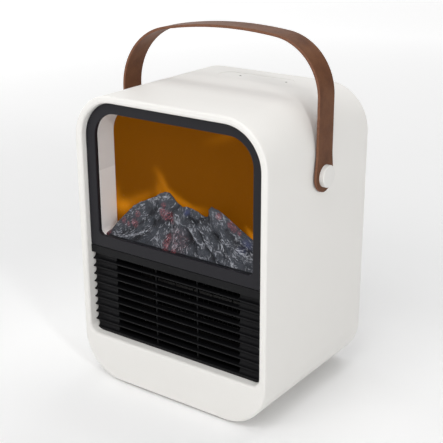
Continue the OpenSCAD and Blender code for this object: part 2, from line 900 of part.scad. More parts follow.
// Bush that the supply lead would pass through.
module cord_gland() {
    color("#D9D7D3") difference() {
        union() {
            rod_y(gland_x, gland_z, 7, cover_y - cover_t - 3, cover_y + eps);
            rod_y(gland_x, gland_z, 8.5, cover_y, cover_y + 0.8);
            rod_y(gland_x, gland_z, 8.2, cover_y - cover_t - 5, cover_y - cover_t - 0.1);
        }
        rod_y(gland_x, gland_z, gland_r, cover_y - 10, cover_y + 2);
    }
}

// ---------- tip-over switch ----------

// Case of the tip-over switch on the casing's floor.
module tip_switch_body() {
    z = base + wall;
    color("#232326") difference() {
        union() {
            translate([0, tip_y0, z]) cylinder(r = 9, h = tip_bore_z + 2 - z);
            block([-14, tip_y0 - 5, z], [14, tip_y0 + 5, z + 3]);
        }
        translate([0, tip_y0, z - 1]) cylinder(r = tip_flange_r + 0.3, h = tip_bore_z - z + 1);
    }
}

// Plunger, held up by the surface that the heater stands on.
module tip_plunger() {
    color("#E6E4E0") translate([0, tip_y0, 0]) {
        translate([0, 0, 0.2]) cylinder(r = tip_stem_r, h = tip_flange_z);
        translate([0, 0, tip_flange_z]) cylinder(r = tip_flange_r, h = 3);
        translate([0, 0, tip_flange_z + 2]) cylinder(r = 2, h = 8.5);
    }
}

// Coil spring above the plunger's flange.
module tip_spring() {
    wire = 0.4;
    coil_r = 3.4;
    turns = 5;
    steps = 14;
    sides = 6;
    low = tip_flange_z + 3 + wire + 0.05;
    high = tip_bore_z - wire - 0.05;
    count = turns * steps;
    points = [for (i = [0 : count], j = [0 : sides - 1])
        let (a = i * 360 / steps, b = j * 360 / sides, r = coil_r + wire * cos(b))
            [r * cos(a), r * sin(a), low + (high - low) * i / count + wire * sin(b)]];
    walls = [for (i = [0 : count - 1], j = [0 : sides - 1])
        [i * sides + j, i * sides + (j + 1) % sides, (i + 1) * sides + (j + 1) % sides,
            (i + 1) * sides + j]];
    ends = [[for (j = [sides - 1 : -1 : 0]) j], [for (j = [0 : sides - 1]) count * sides + j]];
    color("#A8ABB0") translate([0, tip_y0, 0]) polyhedron(points, concat(walls, ends));
}

// ---------- top controls ----------

// Smooth touch panel set into the top.
module control_panel() {
    color("#F2F0EC") difference() {
        translate([0, panel_y, top - panel_recess]) linear_extrude(height = panel_recess - 0.2)
            stadium(panel_l - 2 * panel_gap, panel_w - 2 * panel_gap);
        for (x = light_x)
            translate([x, panel_y, top - 2]) cylinder(r = light_r, h = 3);
    }
}

// Small dark lenses of the indicator lights.
module indicator_lenses() {
    color("#2A2A2C") for (x = light_x)
        translate([x, panel_y, top - wall + 0.2]) cylinder(r = light_r, h = wall - 0.5);
}

// Touch board under the top.
module control_board() {
    color("#2F6B3A") block([-36, panel_y - 9, top - wall - touch_h - board_t],
        [36, panel_y + 9, top - wall - touch_h]);
}

// Springs that carry the touch to the board.
module touch_springs() {
    color("#C8B06A") for (x = [-8, 4, 14])
        translate([x, panel_y, top - wall - touch_h]) cylinder(r = 3, h = touch_h - 0.2);
}

// ---------- handle ----------

// Part of a ring of the given outer radius between two angles.
module arc_band(centre, r, from, to) {
    far = r * 3;
    intersection() {
        translate(centre) difference() {
            circle(r, $fn = 256);
            circle(r - strap_t, $fn = 256);
        }
        translate(centre) polygon([[0, 0], [far * cos(from), far * sin(from)],
            [far * cos((from + to) / 2), far * sin((from + to) / 2)], [far * cos(to), far * sin(to)]]);
    }
}

// Height of a shoulder's centre, where its arc meets the crown's.
function shoulder_z(x, r) = crown_z - crown_r + sqrt(pow(crown_r - r, 2) - pow(x - crown_x, 2));

// Outline of the strap seen from the front.
module strap_outline() {
    low_z = crown_z - crown_r;
    right = [strap_x - shoulder_right, shoulder_z(strap_x - shoulder_right, shoulder_right)];
    left = [shoulder_left - strap_x, shoulder_z(shoulder_left - strap_x, shoulder_left)];
    to_right = atan2(right[1] - low_z, right[0] - crown_x);
    to_left = atan2(left[1] - low_z, left[0] - crown_x);
    translate([strap_x - strap_t, pivot_z]) square([strap_t, right[1] - pivot_z + 0.5]);
    translate([-strap_x, pivot_z]) square([strap_t, left[1] - pivot_z + 0.5]);
    arc_band(right, shoulder_right, -0.2, to_right + 1);
    arc_band([crown_x, low_z], crown_r, to_right, to_left);
    arc_band(left, shoulder_left, to_left - 1, 180.2);
}

// Flat shape of a strap end: a round pad, narrowing upwards to the strap's width.
module strap_end_shape() {
    half_w = strap_w / 2;
    tangent = atan2(strap_flare, half_w) - acos(strap_end_r / norm([half_w, strap_flare]));
    touch = strap_end_r * [cos(tangent), sin(tangent)];
    circle(strap_end_r);
    polygon([[-touch[0], touch[1]], touch, [half_w, strap_flare], [-half_w, strap_flare]]);
}

// Soft brown strap with round ends.
module strap_handle() {
    color("#6B4634") difference() {
        union() {
            along_y(-strap_w / 2, strap_w / 2) strap_outline();
            for (x = [-strap_x, strap_x - strap_t])
                translate([x, 0, pivot_z]) rotate([90, 0, 90]) linear_extrude(height = strap_t)
                    strap_end_shape();
        }
        rod_x(0, pivot_z, bolt_head_r, -body_w, body_w);
    }
}

// Metal eyelets pressed into the strap's ends.
module strap_eyelets() {
    color("#B8A88C") for (side = [-1, 1])
        difference() {
            rod_x(0, pivot_z, bolt_head_r, side > 0 ? strap_x - strap_t : -strap_x,
                side > 0 ? strap_x : strap_t - strap_x);
            rod_x(0, pivot_z, pivot_hole_r + fit, side > 0 ? strap_x - 5 : -strap_x - 5,
                side > 0 ? strap_x + 5 : 5 - strap_x);
        }
}

// Domed cap over a pivot, drawn for the right side.
module pivot_cap() {
    difference() {
        union() {
            rod_x(0, pivot_z, cap_r, strap_x + cap_lift, strap_x + cap_h - cap_edge);
            rod_x(0, pivot_z, cap_r - cap_edge, strap_x + cap_lift, strap_x + cap_h);
            translate([strap_x + cap_h - cap_edge, 0, pivot_z]) rotate([0, 90, 0])
                rotate_extrude() translate([cap_r - cap_edge, 0]) circle(cap_edge, $fn = 32);
        }
        rod_x(0, pivot_z, bolt_head_r + 0.2, strap_x - 1, strap_x + bolt_head_h + 0.4);
    }
}

module pivot_cap_right() {
    color("#E9E7E3") pivot_cap();
}

module pivot_cap_left() {
    color("#E9E7E3") rotate([0, 0, 180]) pivot_cap();
}

// Shoulder bolts that the strap turns on.
module pivot_bolts() {
    color("#B4B6BA") for (side = [0, 1]) mirror([side, 0, 0]) {
        rod_x(0, pivot_z, pivot_hole_r, in_half - 11, strap_x + cap_lift + 0.1);
        rod_x(0, pivot_z, bolt_head_r, strap_x + cap_lift, strap_x + cap_lift + bolt_head_h);
    }
}

// Spacers between the casing and the strap.
module pivot_washers() {
    color("#E9E7E3") for (side = [0, 1]) mirror([side, 0, 0]) difference() {
        rod_x(0, pivot_z, washer_r, body_w / 2, strap_x - strap_t - 0.2);
        rod_x(0, pivot_z, pivot_hole_r + fit, body_w / 2 - 1, strap_x);
    }
}

// Nuts inside the casing.
module pivot_nuts() {
    color("#B4B6BA") for (side = [0, 1]) mirror([side, 0, 0]) difference() {
        translate([in_half - 10, 0, pivot_z]) rotate([0, 90, 0]) cylinder(r = 7.5, h = 4.9, $fn = 6);
        rod_x(0, pivot_z, pivot_hole_r, in_half - 12, in_half);
    }
}

housing();
front_bezel();
window_pane();
firebox_liner();
flame_screen();
ember_bed();
ember_led_board();
flame_mask();
flame_spindle();
spindle_brackets();
flame_motor();
flame_led_board();
mid_frame();
outlet_grille();
outlet_duct();
ptc_frame();
ptc_fins();
ptc_stones();
ptc_terminals();
thermal_cutout();
fan_shroud();
fan_impeller();
motor_shaft();
fan_motor();
motor_bracket();
heater_leads();
motor_leads();
mains_leads();
terminal_block();
power_board();
board_parts();
board_screws();
control_board();
touch_springs();
control_panel();
indicator_lenses();
rear_cover();
intake_filter();
rear_screws();
rocker_housing();
rocker_button();
cord_gland();
tip_switch_body();
tip_plunger();
tip_spring();
rubber_feet();
strap_handle();
strap_eyelets();
pivot_cap_left();
pivot_cap_right();
pivot_bolts();
pivot_washers();
pivot_nuts();
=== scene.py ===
"""Portable flame-effect ceramic fan heater: the visible model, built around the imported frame.

Shapes are worked out in millimetres and scaled when their mesh is made. The camera, the lights, the floor
and the scales of textures are in metres.
"""

import json
import math

import bmesh
import bpy
import numpy as np
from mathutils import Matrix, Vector, noise


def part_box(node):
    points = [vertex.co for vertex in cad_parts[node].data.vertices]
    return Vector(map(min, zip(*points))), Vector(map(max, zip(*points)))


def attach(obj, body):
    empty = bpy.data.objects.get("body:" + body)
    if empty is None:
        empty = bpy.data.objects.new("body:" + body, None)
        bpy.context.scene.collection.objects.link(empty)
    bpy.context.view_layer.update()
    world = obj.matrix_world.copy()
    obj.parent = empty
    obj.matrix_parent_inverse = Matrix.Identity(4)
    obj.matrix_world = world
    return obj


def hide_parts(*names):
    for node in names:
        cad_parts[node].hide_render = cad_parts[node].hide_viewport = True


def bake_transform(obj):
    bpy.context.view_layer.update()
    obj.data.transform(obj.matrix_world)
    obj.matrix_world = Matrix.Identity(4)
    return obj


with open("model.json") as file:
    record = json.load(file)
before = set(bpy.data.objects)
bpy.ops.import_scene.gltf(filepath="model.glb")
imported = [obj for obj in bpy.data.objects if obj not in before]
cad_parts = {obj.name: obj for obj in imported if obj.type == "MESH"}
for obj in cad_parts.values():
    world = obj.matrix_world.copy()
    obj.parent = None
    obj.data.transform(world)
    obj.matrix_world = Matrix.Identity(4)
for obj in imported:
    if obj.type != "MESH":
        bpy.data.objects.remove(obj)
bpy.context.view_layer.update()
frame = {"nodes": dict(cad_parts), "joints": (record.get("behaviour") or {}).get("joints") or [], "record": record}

MM = 0.001
CORNER_POINTS = 28
SIDE_POINTS = 6


# ---------- sizes, from the frame where it has them ----------

def box_mm(node):
    """Lowest and highest corner of a CAD node, in millimetres."""
    low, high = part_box(node)
    return low / MM, high / MM


casing_low, casing_high = box_mm("housing")
bezel_low, _ = box_mm("front_bezel")
grille_low, grille_high = box_mm("outlet_grille")
liner_low, liner_high = box_mm("firebox_liner")
screen_low, screen_high = box_mm("flame_screen")
panel_low, panel_high = box_mm("control_panel")
strap_low, strap_high = box_mm("strap_handle")
cap_low, cap_high = box_mm("pivot_cap_right")
foot_low, foot_high = box_mm("rubber_feet")

FRONT = casing_low.y
BACK = casing_high.y
BASE = casing_low.z
TOP = casing_high.z
HALF = casing_high.x
PIVOT_Z = frame["joints"][0]["pos_m"][2] / MM
PANEL_X = (panel_low.x + panel_high.x) / 2
PANEL_Y = (panel_low.y + panel_high.y) / 2
PANEL_L = panel_high.x - panel_low.x
PANEL_W = panel_high.y - panel_low.y

# Radii, walls, gaps and heights that the frame does not say.
CORNER_R = 38.7
EDGE_R = 2.0
WALL = 2.5
RIM_W = 6.3
RIM_D = 11.0
RIM_R = 2.6
OPEN_HALF = HALF - RIM_W
OPEN_LOW = BASE + 38.5
OPEN_HIGH = TOP - RIM_W
OPEN_R = CORNER_R - RIM_W
OPEN_LOW_R = 8.0
GAP = 0.3
WINDOW_HALF = 77.3
WINDOW_LOW = BASE + 128.6
WINDOW_HIGH = BASE + 234.1
WINDOW_R = 22.0
WINDOW_LOW_R = 4.0
PANEL_FLOOR = panel_high.z - 0.3
PANEL_PLAY = 0.02
FOOT_R = 8.0


# ---------- geometry helpers ----------

def rounded_outline(half, low, high, r_top, r_low):
    """Points (x, z) round a rectangle with round corners, the same number whatever its size."""
    corners = [
        (half - r_low, low + r_low, r_low, -90),
        (half - r_top, high - r_top, r_top, 0),
        (r_top - half, high - r_top, r_top, 90),
        (r_low - half, low + r_low, r_low, 180),
    ]
    arcs = []
    for x, z, r, start in corners:
        angles = [math.radians(start + 90 * i / CORNER_POINTS) for i in range(CORNER_POINTS + 1)]
        arcs.append([(x + r * math.cos(a), z + r * math.sin(a)) for a in angles])
    points = []
    for i, arc in enumerate(arcs):
        points += arc
        (x0, z0), (x1, z1) = arc[-1], arcs[(i + 1) % 4][0]
        for k in range(1, SIDE_POINTS):
            t = k / SIDE_POINTS
            points.append((x0 + (x1 - x0) * t, z0 + (z1 - z0) * t))
    return points


def at_y(outline, y):
    """An (x, z) outline as a loop of points at depth y."""
    return [(x, y, z) for x, z in outline]


def casing_outline(inset):
    """The casing's outer outline, moved inwards."""
    return rounded_outline(HALF - inset, BASE + inset, TOP - inset, CORNER_R - inset, CORNER_R - inset)


def opening_outline(offset):
    """The front opening's outline, moved outwards."""
    return rounded_outline(OPEN_HALF + offset, OPEN_LOW - offset, OPEN_HIGH + offset,
                           OPEN_R + offset, OPEN_LOW_R + offset)


def window_outline(offset):
    """The window's outline, moved outwards."""
    return rounded_outline(WINDOW_HALF + offset, WINDOW_LOW - offset, WINDOW_HIGH + offset,
                           WINDOW_R + offset, WINDOW_LOW_R + offset)


def quarter(steps):
    """Angles from 0 to 90 degrees, as (cosine, sine) pairs."""
    return [(math.cos(math.pi / 2 * i / steps), math.sin(math.pi / 2 * i / steps)) for i in range(steps + 1)]


def loft(loops, wrap=False):
    """Vertices and quads that join equal closed loops; wrap joins the last loop to the first."""
    n = len(loops[0])
    verts = [p for loop in loops for p in loop]
    faces = []
    for i in range(len(loops) if wrap else len(loops) - 1):
        a = i * n
        b = (i + 1) % len(loops) * n
        faces += [(a + k, a + (k + 1) % n, b + (k + 1) % n, b + k) for k in range(n)]
    return verts, faces


def loft_solid(loops):
    """As loft, with a face over each end."""
    verts, faces = loft(loops)
    n = len(loops[0])
    faces.append(tuple(range(n)))
    faces.append(tuple(range(len(verts) - n, len(verts))))
    return verts, faces


def joined(*parts):
    """Several (vertices, faces) pairs as one."""
    verts = []
    faces = []
    for part_verts, part_faces in parts:
        faces += [tuple(i + len(verts) for i in face) for face in part_faces]
        verts += part_verts
    return verts, faces


def prism(outline, axis, low, high):
    """A flat outline carried along an axis: in y and z for "x", x and z for "y", x and y for "z"."""
    place = {
        "x": lambda p, t: (t, p[0], p[1]),
        "y": lambda p, t: (p[0], t, p[1]),
        "z": lambda p, t: (p[0], p[1], t),
    }[axis]
    return loft_solid([[place(p, low) for p in outline], [place(p, high) for p in outline]])


def circle_outline(x, y, r, points=48):
    """Points round a circle."""
    return [(x + r * math.cos(2 * math.pi * i / points), y + r * math.sin(2 * math.pi * i / points))
            for i in range(points)]


def stadium_outline(x, y, length, width):
    """A slot-shaped outline that is long in its first direction."""
    points = 16
    outline = []
    for side in (1, -1):
        centre = x + side * (length - width) / 2
        for i in range(points + 1):
            a = math.radians(-90 * side + 180 * i / points)
            outline.append((centre + width / 2 * math.cos(a), y + width / 2 * math.sin(a)))
    return outline


def lathe(profile, place, points):
    """Turns (radius, height) points; place(x, y, h) says where a point on the turned solid lies."""
    loops = []
    for r, h in profile:
        loops.append([place(x, y, h) for x, y in circle_outline(0, 0, r, points)])
    return loft_solid(loops)


def new_mesh(name, verts, faces):
    """A mesh in metres from millimetre points, with its faces turned outwards."""
    mesh = bpy.data.meshes.new(name)
    mesh.from_pydata([Vector(v) * MM for v in verts], [], faces)
    tidy = bmesh.new()
    tidy.from_mesh(mesh)
    bmesh.ops.remove_doubles(tidy, verts=tidy.verts, dist=1e-7)
    bmesh.ops.recalc_face_normals(tidy, faces=tidy.faces)
    tidy.to_mesh(mesh)
    tidy.free()
    return mesh


def link(name, data):
    """A new object in the scene, from a mesh, a camera or a light."""
    piece = bpy.data.objects.new(name, data)
    bpy.context.scene.collection.objects.link(piece)
    return piece


def cut(piece, *cutters, operation="DIFFERENCE"):
    """Cuts each closed (vertices, faces) solid out of a piece, or joins or intersects it."""
    for verts, faces in cutters:
        tool = link("tool", new_mesh("tool", verts, faces))
        change = piece.modifiers.new("cut", "BOOLEAN")
        change.operation = operation
        change.solver = "EXACT"
        change.object = tool
        apply_modifiers(piece)
        bpy.data.objects.remove(tool)


def apply_modifiers(piece):
    """Replaces a piece's mesh with what its modifiers make of it."""
    seen = piece.evaluated_get(bpy.context.evaluated_depsgraph_get())
    mesh = bpy.data.meshes.new_from_object(seen)
    piece.modifiers.clear()
    piece.data = mesh


def shade(piece, angle=32):
    """Smooth shading, with edges sharper than the angle kept and flat faces kept flat."""
    for polygon in piece.data.polygons:
        polygon.use_smooth = True
    piece.data.set_sharp_from_angle(angle=math.radians(angle))
    weighted = piece.modifiers.new("weighted", "WEIGHTED_NORMAL")
    weighted.keep_sharp = True
    apply_modifiers(piece)


def paint(piece, slot):
    """Gives a piece its slot's material and no other."""
    piece.data.materials.clear()
    piece.data.materials.append(MATERIALS[slot])


def finish_piece(piece, body, nodes):
    """Puts a piece on its body and hides the CAD nodes it stands for."""
    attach(piece, body)
    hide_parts(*nodes)


def new_piece(name, solid, body, slot, nodes, cutters=(), angle=32):
    """A finished piece from a closed solid."""
    piece = link(name, new_mesh(name, *solid))
    cut(piece, *cutters)
    shade(piece, angle)
    paint(piece, slot)
    finish_piece(piece, body, nodes)


# ---------- materials ----------

def linear(red, green, blue):
    """A display colour from 0 to 255 as the linear colour that shaders take."""
    def one(value):
        value /= 255
        return value / 12.92 if value <= 0.04045 else ((value + 0.055) / 1.055) ** 2.4
    return (one(red), one(green), one(blue), 1.0)


def scaled(colour, factor):
    """A colour made lighter or darker."""
    return tuple(min(1.0, c * factor) for c in colour[:3]) + (1.0,)


class Shader:
    """A Principled material and the few node patterns that the materials here share."""

    def __init__(self, name, roughness=0.5, metallic=0.0, **sockets):
        self.material = bpy.data.materials.new(name)
        self.material.use_nodes = True
        self.tree = self.material.node_tree
        self.surface = self.tree.nodes["Principled BSDF"]
        self.feed(self.surface, Roughness=roughness, Metallic=metallic, **sockets)
        self.place = self.add("ShaderNodeTexCoord").outputs["Object"]
        self.heights = []

    def put(self, value, socket):
        """Gives a socket a plain value or another node's output."""
        if isinstance(value, bpy.types.NodeSocket):
            self.tree.links.new(value, socket)
        else:
            socket.default_value = value

    def feed(self, node, **values):
        """Gives a node's inputs their values; an underscore in a name stands for a space."""
        for name, value in values.items():
            self.put(value, node.inputs[name.replace("_", " ")])

    def add(self, kind, **values):
        """A new node with its inputs fed."""
        made = self.tree.nodes.new(kind)
        self.feed(made, **values)
        return made

    def noise(self, scale, detail=3.0, roughness=0.5, distortion=0.0, stretch=(1, 1, 1)):
        """Noise from 0 to 1; scale is in features per metre."""
        mapping = self.add("ShaderNodeMapping", Scale=stretch, Vector=self.place)
        texture = self.add("ShaderNodeTexNoise", Scale=scale, Detail=detail, Roughness=roughness,
                           Distortion=distortion, Vector=mapping.outputs["Vector"])
        return texture.outputs["Fac"]

    def pattern(self, kind, scale, output):
        """One output of a texture that takes only a scale."""
        return self.add(kind, Scale=scale, Vector=self.place).outputs[output]

    def attribute(self, name):
        """A number that the mesh carries at each vertex."""
        made = self.add("ShaderNodeAttribute")
        made.attribute_name = name
        return made.outputs["Fac"]

    def remap(self, value, low, high, to_low=0.0, to_high=1.0):
        """A value's range stretched to another, and held at its ends."""
        made = self.add("ShaderNodeMapRange", Value=value, From_Min=low, From_Max=high,
                        To_Min=to_low, To_Max=to_high)
        return made.outputs["Result"]

    def maths(self, operation, a, b):
        """One arithmetic step on two values."""
        made = self.add("ShaderNodeMath")
        made.operation = operation
        for value, socket in zip((a, b), made.inputs):
            self.put(value, socket)
        return made.outputs[0]

    def mix(self, share, a, b):
        """Colours a and b, mixed by a share from 0 to 1."""
        made = self.add("ShaderNodeMix", Factor=share)
        made.data_type = "RGBA"
        self.put(a, made.inputs[6])
        self.put(b, made.inputs[7])
        return made.outputs[2]

    def colour(self, value):
        """The surface's own colour."""
        self.feed(self.surface, Base_Color=value)

    def rough(self, value, low, high):
        """Roughness that wanders between two values."""
        self.feed(self.surface, Roughness=self.remap(value, 0.3, 0.7, low, high))

    def bump(self, height, distance):
        """Adds fine relief; distance is its depth in millimetres."""
        made = self.add("ShaderNodeBump", Distance=distance * MM, Strength=1.0, Height=height)
        if self.heights:
            self.feed(made, Normal=self.heights[-1])
        self.heights.append(made.outputs["Normal"])
        self.feed(self.surface, Normal=made.outputs["Normal"])

    def glow(self, colour, strength):
        """Light of its own."""
        self.feed(self.surface, Emission_Color=colour, Emission_Strength=strength)


def moulded(name, colour, roughness, grain, specular=0.5, spread=0.04):
    """Moulded plastic: faint mottling, fine spark-eroded grain and uneven gloss."""
    shader = Shader(name, roughness, Specular_IOR_Level=specular)
    mottle = shader.noise(38, detail=4)
    shader.colour(shader.mix(mottle, scaled(colour, 1 - spread), scaled(colour, 1 + spread)))
    fine = shader.noise(2600, detail=2, roughness=0.6)
    shader.rough(shader.noise(900, detail=3), roughness - 0.05, roughness + 0.06)
    shader.bump(fine, grain)
    return shader.material


def metal(name, colour, roughness, lines=(1, 1, 1), scale=600):
    """Bare metal with brushed or turned lines."""
    shader = Shader(name, roughness, metallic=1.0)
    streaks = shader.noise(scale, detail=5, roughness=0.65, stretch=lines)
    shader.colour(shader.mix(streaks, scaled(colour, 0.92), scaled(colour, 1.08)))
    shader.rough(streaks, roughness - 0.07, roughness + 0.1)
    shader.bump(streaks, 0.01)
    return shader.material


WHITE = linear(239, 237, 233)


def casing_material(name, tint, roughness):
    """Warm white moulded shell with a soft sheen."""
    shader = Shader(name, roughness, Specular_IOR_Level=0.35)
    mottle = shader.noise(14, detail=5, roughness=0.55)
    shader.colour(shader.mix(mottle, scaled(tint, 0.985), scaled(tint, 1.012)))
    shader.rough(shader.noise(500, detail=4), roughness - 0.04, roughness + 0.05)
    shader.bump(shader.noise(1900, detail=3, roughness=0.6), 0.007)
    return shader.material


def leather_material(name, dark, light):
    """Finished leather: uneven dye, fine pebbled grain and a few longer creases."""
    shader = Shader(name, 0.55, Specular_IOR_Level=0.09, Sheen_Weight=0.14, Sheen_Roughness=0.35)
    dye = shader.noise(60, detail=6, roughness=0.6)
    fine = shader.noise(1400, detail=3)
    blotches = shader.maths("ADD", dye, shader.maths("MULTIPLY", fine, 0.35))
    shader.colour(shader.mix(shader.remap(blotches, 0.42, 0.95), dark, light))
    pebbles = shader.pattern("ShaderNodeTexVoronoi", 1500, "Distance")
    creases = shader.noise(420, detail=4, roughness=0.7, distortion=0.6)
    shader.rough(creases, 0.48, 0.62)
    shader.bump(pebbles, 0.035)
    shader.bump(creases, 0.03)
    return shader.material


def cut_edge_material():
    """Raw, waxed edge of the strap: pale tan with darker fibre lines."""
    shader = Shader("strap_cut_edge", 0.6, Specular_IOR_Level=0.15)
    fibres = shader.noise(900, detail=4, roughness=0.7, stretch=(1, 3, 1))
    shader.colour(shader.mix(shader.remap(fibres, 0.3, 0.7), linear(104, 70, 53), linear(138, 96, 74)))
    shader.bump(fibres, 0.04)
    return shader.material


def rock_material():
    """Slate moulding: painted shade in its creases, pale dry brushing on its fine ridges, red embers."""
    shader = Shader("ember_rock", 0.55, Specular_IOR_Level=0.2)
    stain = shader.noise(70, detail=6, roughness=0.65)
    grit = shader.noise(900, detail=3, roughness=0.6)
    slate = shader.mix(shader.remap(stain, 0.35, 0.65), linear(48, 51, 58), linear(68, 71, 78))
    gritty = shader.mix(shader.remap(grit, 0.45, 0.75, 0.0, 0.35), slate, linear(98, 100, 106))
    cool = shader.mix(shader.attribute("cool"), gritty, linear(64, 72, 118))
    # painted shade: darker in the gullies, in the dark patches and along the foot
    with_painted_shade = shader.mix(shader.attribute("painted_shade"), cool, linear(26, 27, 32))
    brushed = shader.mix(shader.remap(shader.attribute("pale"), 0.10, 0.85), with_painted_shade, linear(196, 199, 208))
    ember = shader.attribute("ember")
    shader.colour(shader.mix(shader.remap(ember, 0.0, 1.0, 0.0, 0.78), brushed, linear(198, 88, 98)))
    shader.glow(shader.mix(stain, linear(200, 30, 44), linear(240, 96, 88)),
                shader.maths("MULTIPLY", ember, 0.06))
    shader.rough(stain, 0.45, 0.65)
    shader.bump(grit, 0.06)
    return shader.material


def screen_material():
    """Smoked amber diffuser; the flames' glow is an attribute of its mesh."""
    shader = Shader("amber_screen", 0.45, Specular_IOR_Level=0.01)
    weave = shader.noise(260, detail=4)
    base = shader.mix(weave, linear(104, 58, 2), linear(110, 63, 3))
    warm = shader.mix(shader.attribute("glow"), base, linear(206, 128, 20))
    shader.colour(shader.mix(weave, linear(60, 32, 2), linear(64, 35, 2)))
    shader.glow(warm, 0.80)
    return shader.material


def pane_material():
    """Clear coated pane: it lets the fire through and mirrors a little at a glance."""
    shader = Shader("clear_pane")
    shader.tree.nodes.remove(shader.surface)
    smear = shader.add("ShaderNodeTexNoise", Scale=60)
    haze = shader.remap(smear.outputs["Fac"], 0.0, 1.0, 0.02, 0.06)
    clear = shader.add("ShaderNodeBsdfTransparent")
    gloss = shader.add("ShaderNodeBsdfGlossy", Roughness=haze)
    edge = shader.add("ShaderNodeFresnel", IOR=1.035)
    blend = shader.add("ShaderNodeMixShader")
    layers = (edge.outputs["Fac"], clear.outputs["BSDF"], gloss.outputs["BSDF"])
    for layer, socket in zip(layers, blend.inputs):
        shader.put(layer, socket)
    shader.put(blend.outputs["Shader"], shader.tree.nodes["Material Output"].inputs["Surface"])
    return shader.material


def liner_material():
    """Pale satin lining with a faint painted glow; below a level line it is a touch lighter."""
    shader = Shader("firebox_white", 0.45, Specular_IOR_Level=0.3)
    line_z = 0.1851
    height = shader.add("ShaderNodeSeparateXYZ", Vector=shader.place)
    lower = shader.remap(height.outputs["Z"], line_z, line_z - 0.0005)
    cloud = shader.noise(40, detail=3)
    upper_tone = shader.mix(cloud, linear(212, 211, 210), linear(218, 217, 216))
    lower_tone = shader.mix(cloud, linear(226, 225, 224), linear(232, 231, 230))
    shader.colour(shader.mix(lower, upper_tone, lower_tone))
    # painted glow: the lining shines faintly though it is no lamp
    shader.glow((1.0, 0.97, 0.95, 1.0), 0.07)
    shader.bump(shader.noise(1600, detail=2), 0.006)
    return shader.material


def board_material():
    """Green solder mask with the glass weave showing through."""
    shader = Shader("circuit_board", 0.35, Coat_Weight=0.3, Coat_Roughness=0.2)
    weave = shader.pattern("ShaderNodeTexBrick", 700, "Fac")
    shader.colour(shader.mix(weave, linear(22, 84, 48), linear(30, 100, 58)))
    shader.bump(weave, 0.02)
    return shader.material


def mesh_pad_material():
    """Woven dust mesh."""
    shader = Shader("filter_mesh", 0.8, Sheen_Weight=0.2)
    threads = shader.pattern("ShaderNodeTexBrick", 900, "Fac")
    shader.colour(shader.mix(threads, linear(40, 41, 43), linear(84, 86, 88)))
    shader.bump(threads, 0.08)
    return shader.material


def ceramic_material():
    """Sintered heater stone, slightly speckled."""
    shader = Shader("heater_ceramic", 0.7)
    speckle = shader.noise(2000, detail=3, roughness=0.7)
    shader.colour(shader.mix(shader.remap(speckle, 0.4, 0.6), linear(40, 39, 38), linear(56, 54, 52)))
    shader.bump(speckle, 0.03)
    return shader.material


BLACK = (0.006, 0.006, 0.006, 1)

# Plain mouldings: colour, roughness, depth of grain in millimetres and, where it is not 0.5, specular level.
MOULDINGS = {
    "frame_black": (linear(29, 28, 33), 0.42, 0.01, 0.22),
    "grille_black": (linear(15, 15, 17), 0.45, 0.01, 0.16),
    "inner_black": (linear(28, 28, 29), 0.55, 0.02),
    "heater_frame": (linear(24, 22, 21), 0.7, 0.03, 0.1),
    "fin_black": (BLACK, 0.6, 0.01, 0.1),
    "duct_black": (BLACK, 0.6, 0.01, 0.1),
    "cutout_buff": (linear(206, 190, 158), 0.6, 0.03),
    "terminal_ivory": (linear(226, 220, 206), 0.5, 0.02),
    "lead_red": (linear(172, 78, 66), 0.5, 0.02),
    "lead_blue": (linear(62, 98, 168), 0.5, 0.02),
    "lead_brown": (linear(106, 76, 48), 0.5, 0.02),
    "lens_dark": (linear(60, 58, 56), 0.2, 0.002),
    "switch_black": (linear(24, 24, 25), 0.28, 0.006),
    "switch_red": (linear(172, 34, 28), 0.25, 0.004),
    "foot_rubber": (linear(38, 38, 38), 0.8, 0.04, 0.25),
}

MATERIALS = {slot: moulded(slot, *look) for slot, look in MOULDINGS.items()}
MATERIALS.update({
    "casing_white": casing_material("casing_white", WHITE, 0.42),
    "cover_white": casing_material("cover_white", scaled(WHITE, 0.97), 0.5),
    "panel_white": casing_material("panel_white", WHITE, 0.36),
    "cap_white": moulded("cap_white", scaled(WHITE, 0.94), 0.32, grain=0.004, spread=0.01),
    "clear_pane": pane_material(),
    "firebox_white": liner_material(),
    "amber_screen": screen_material(),
    "ember_rock": rock_material(),
    "circuit_board": board_material(),
    "bright_metal": metal("bright_metal", (0.80, 0.81, 0.83, 1), 0.22, lines=(1, 8, 8)),
    "motor_steel": metal("motor_steel", (0.52, 0.53, 0.55, 1), 0.32, lines=(1, 0.1, 1)),
    "screw_steel": metal("screw_steel", (0.58, 0.59, 0.61, 1), 0.3, scale=1500),
    "heater_ceramic": ceramic_material(),
    "brass_tab": metal("brass_tab", (0.16, 0.12, 0.07, 1), 0.5),
    "eyelet_brass": metal("eyelet_brass", (0.55, 0.45, 0.30, 1), 0.4, scale=1200),
    "filter_mesh": mesh_pad_material(),
    "strap_leather": leather_material("strap_leather", linear(84, 50, 32), linear(119, 79, 53)),
})

for part in frame["record"]["subparts"]:
    paint(frame["nodes"][part["node"]], part["material_slot"])


# ---------- camera, floor and lights ----------

CAMERA_TARGET = Vector((-1.6, -0.1, 137.0)) * MM
CAMERA_DISTANCE = 0.840
CAMERA_AZIMUTH = math.radians(35.85)
CAMERA_ELEVATION = math.radians(20.04)
CAMERA_ROLL = math.radians(0.22)
CAMERA_LENS = 80.7
LIGHT_TARGET = Vector((0, 0, 0.15))


def towards(azimuth, elevation):
    """Unit vector from the object towards a viewer at this azimuth and elevation."""
    return Vector((math.sin(azimuth) * math.cos(elevation),
                   -math.cos(azimuth) * math.cos(elevation),
                   math.sin(elevation)))


def aim(thing, place, target, roll=0.0):
    """Puts a camera or a light at a place, facing a target."""
    thing.location = place
    thing.rotation_euler = (target - place).to_track_quat("-Z", "Y").to_euler()
    thing.rotation_euler.rotate_axis("Z", roll)


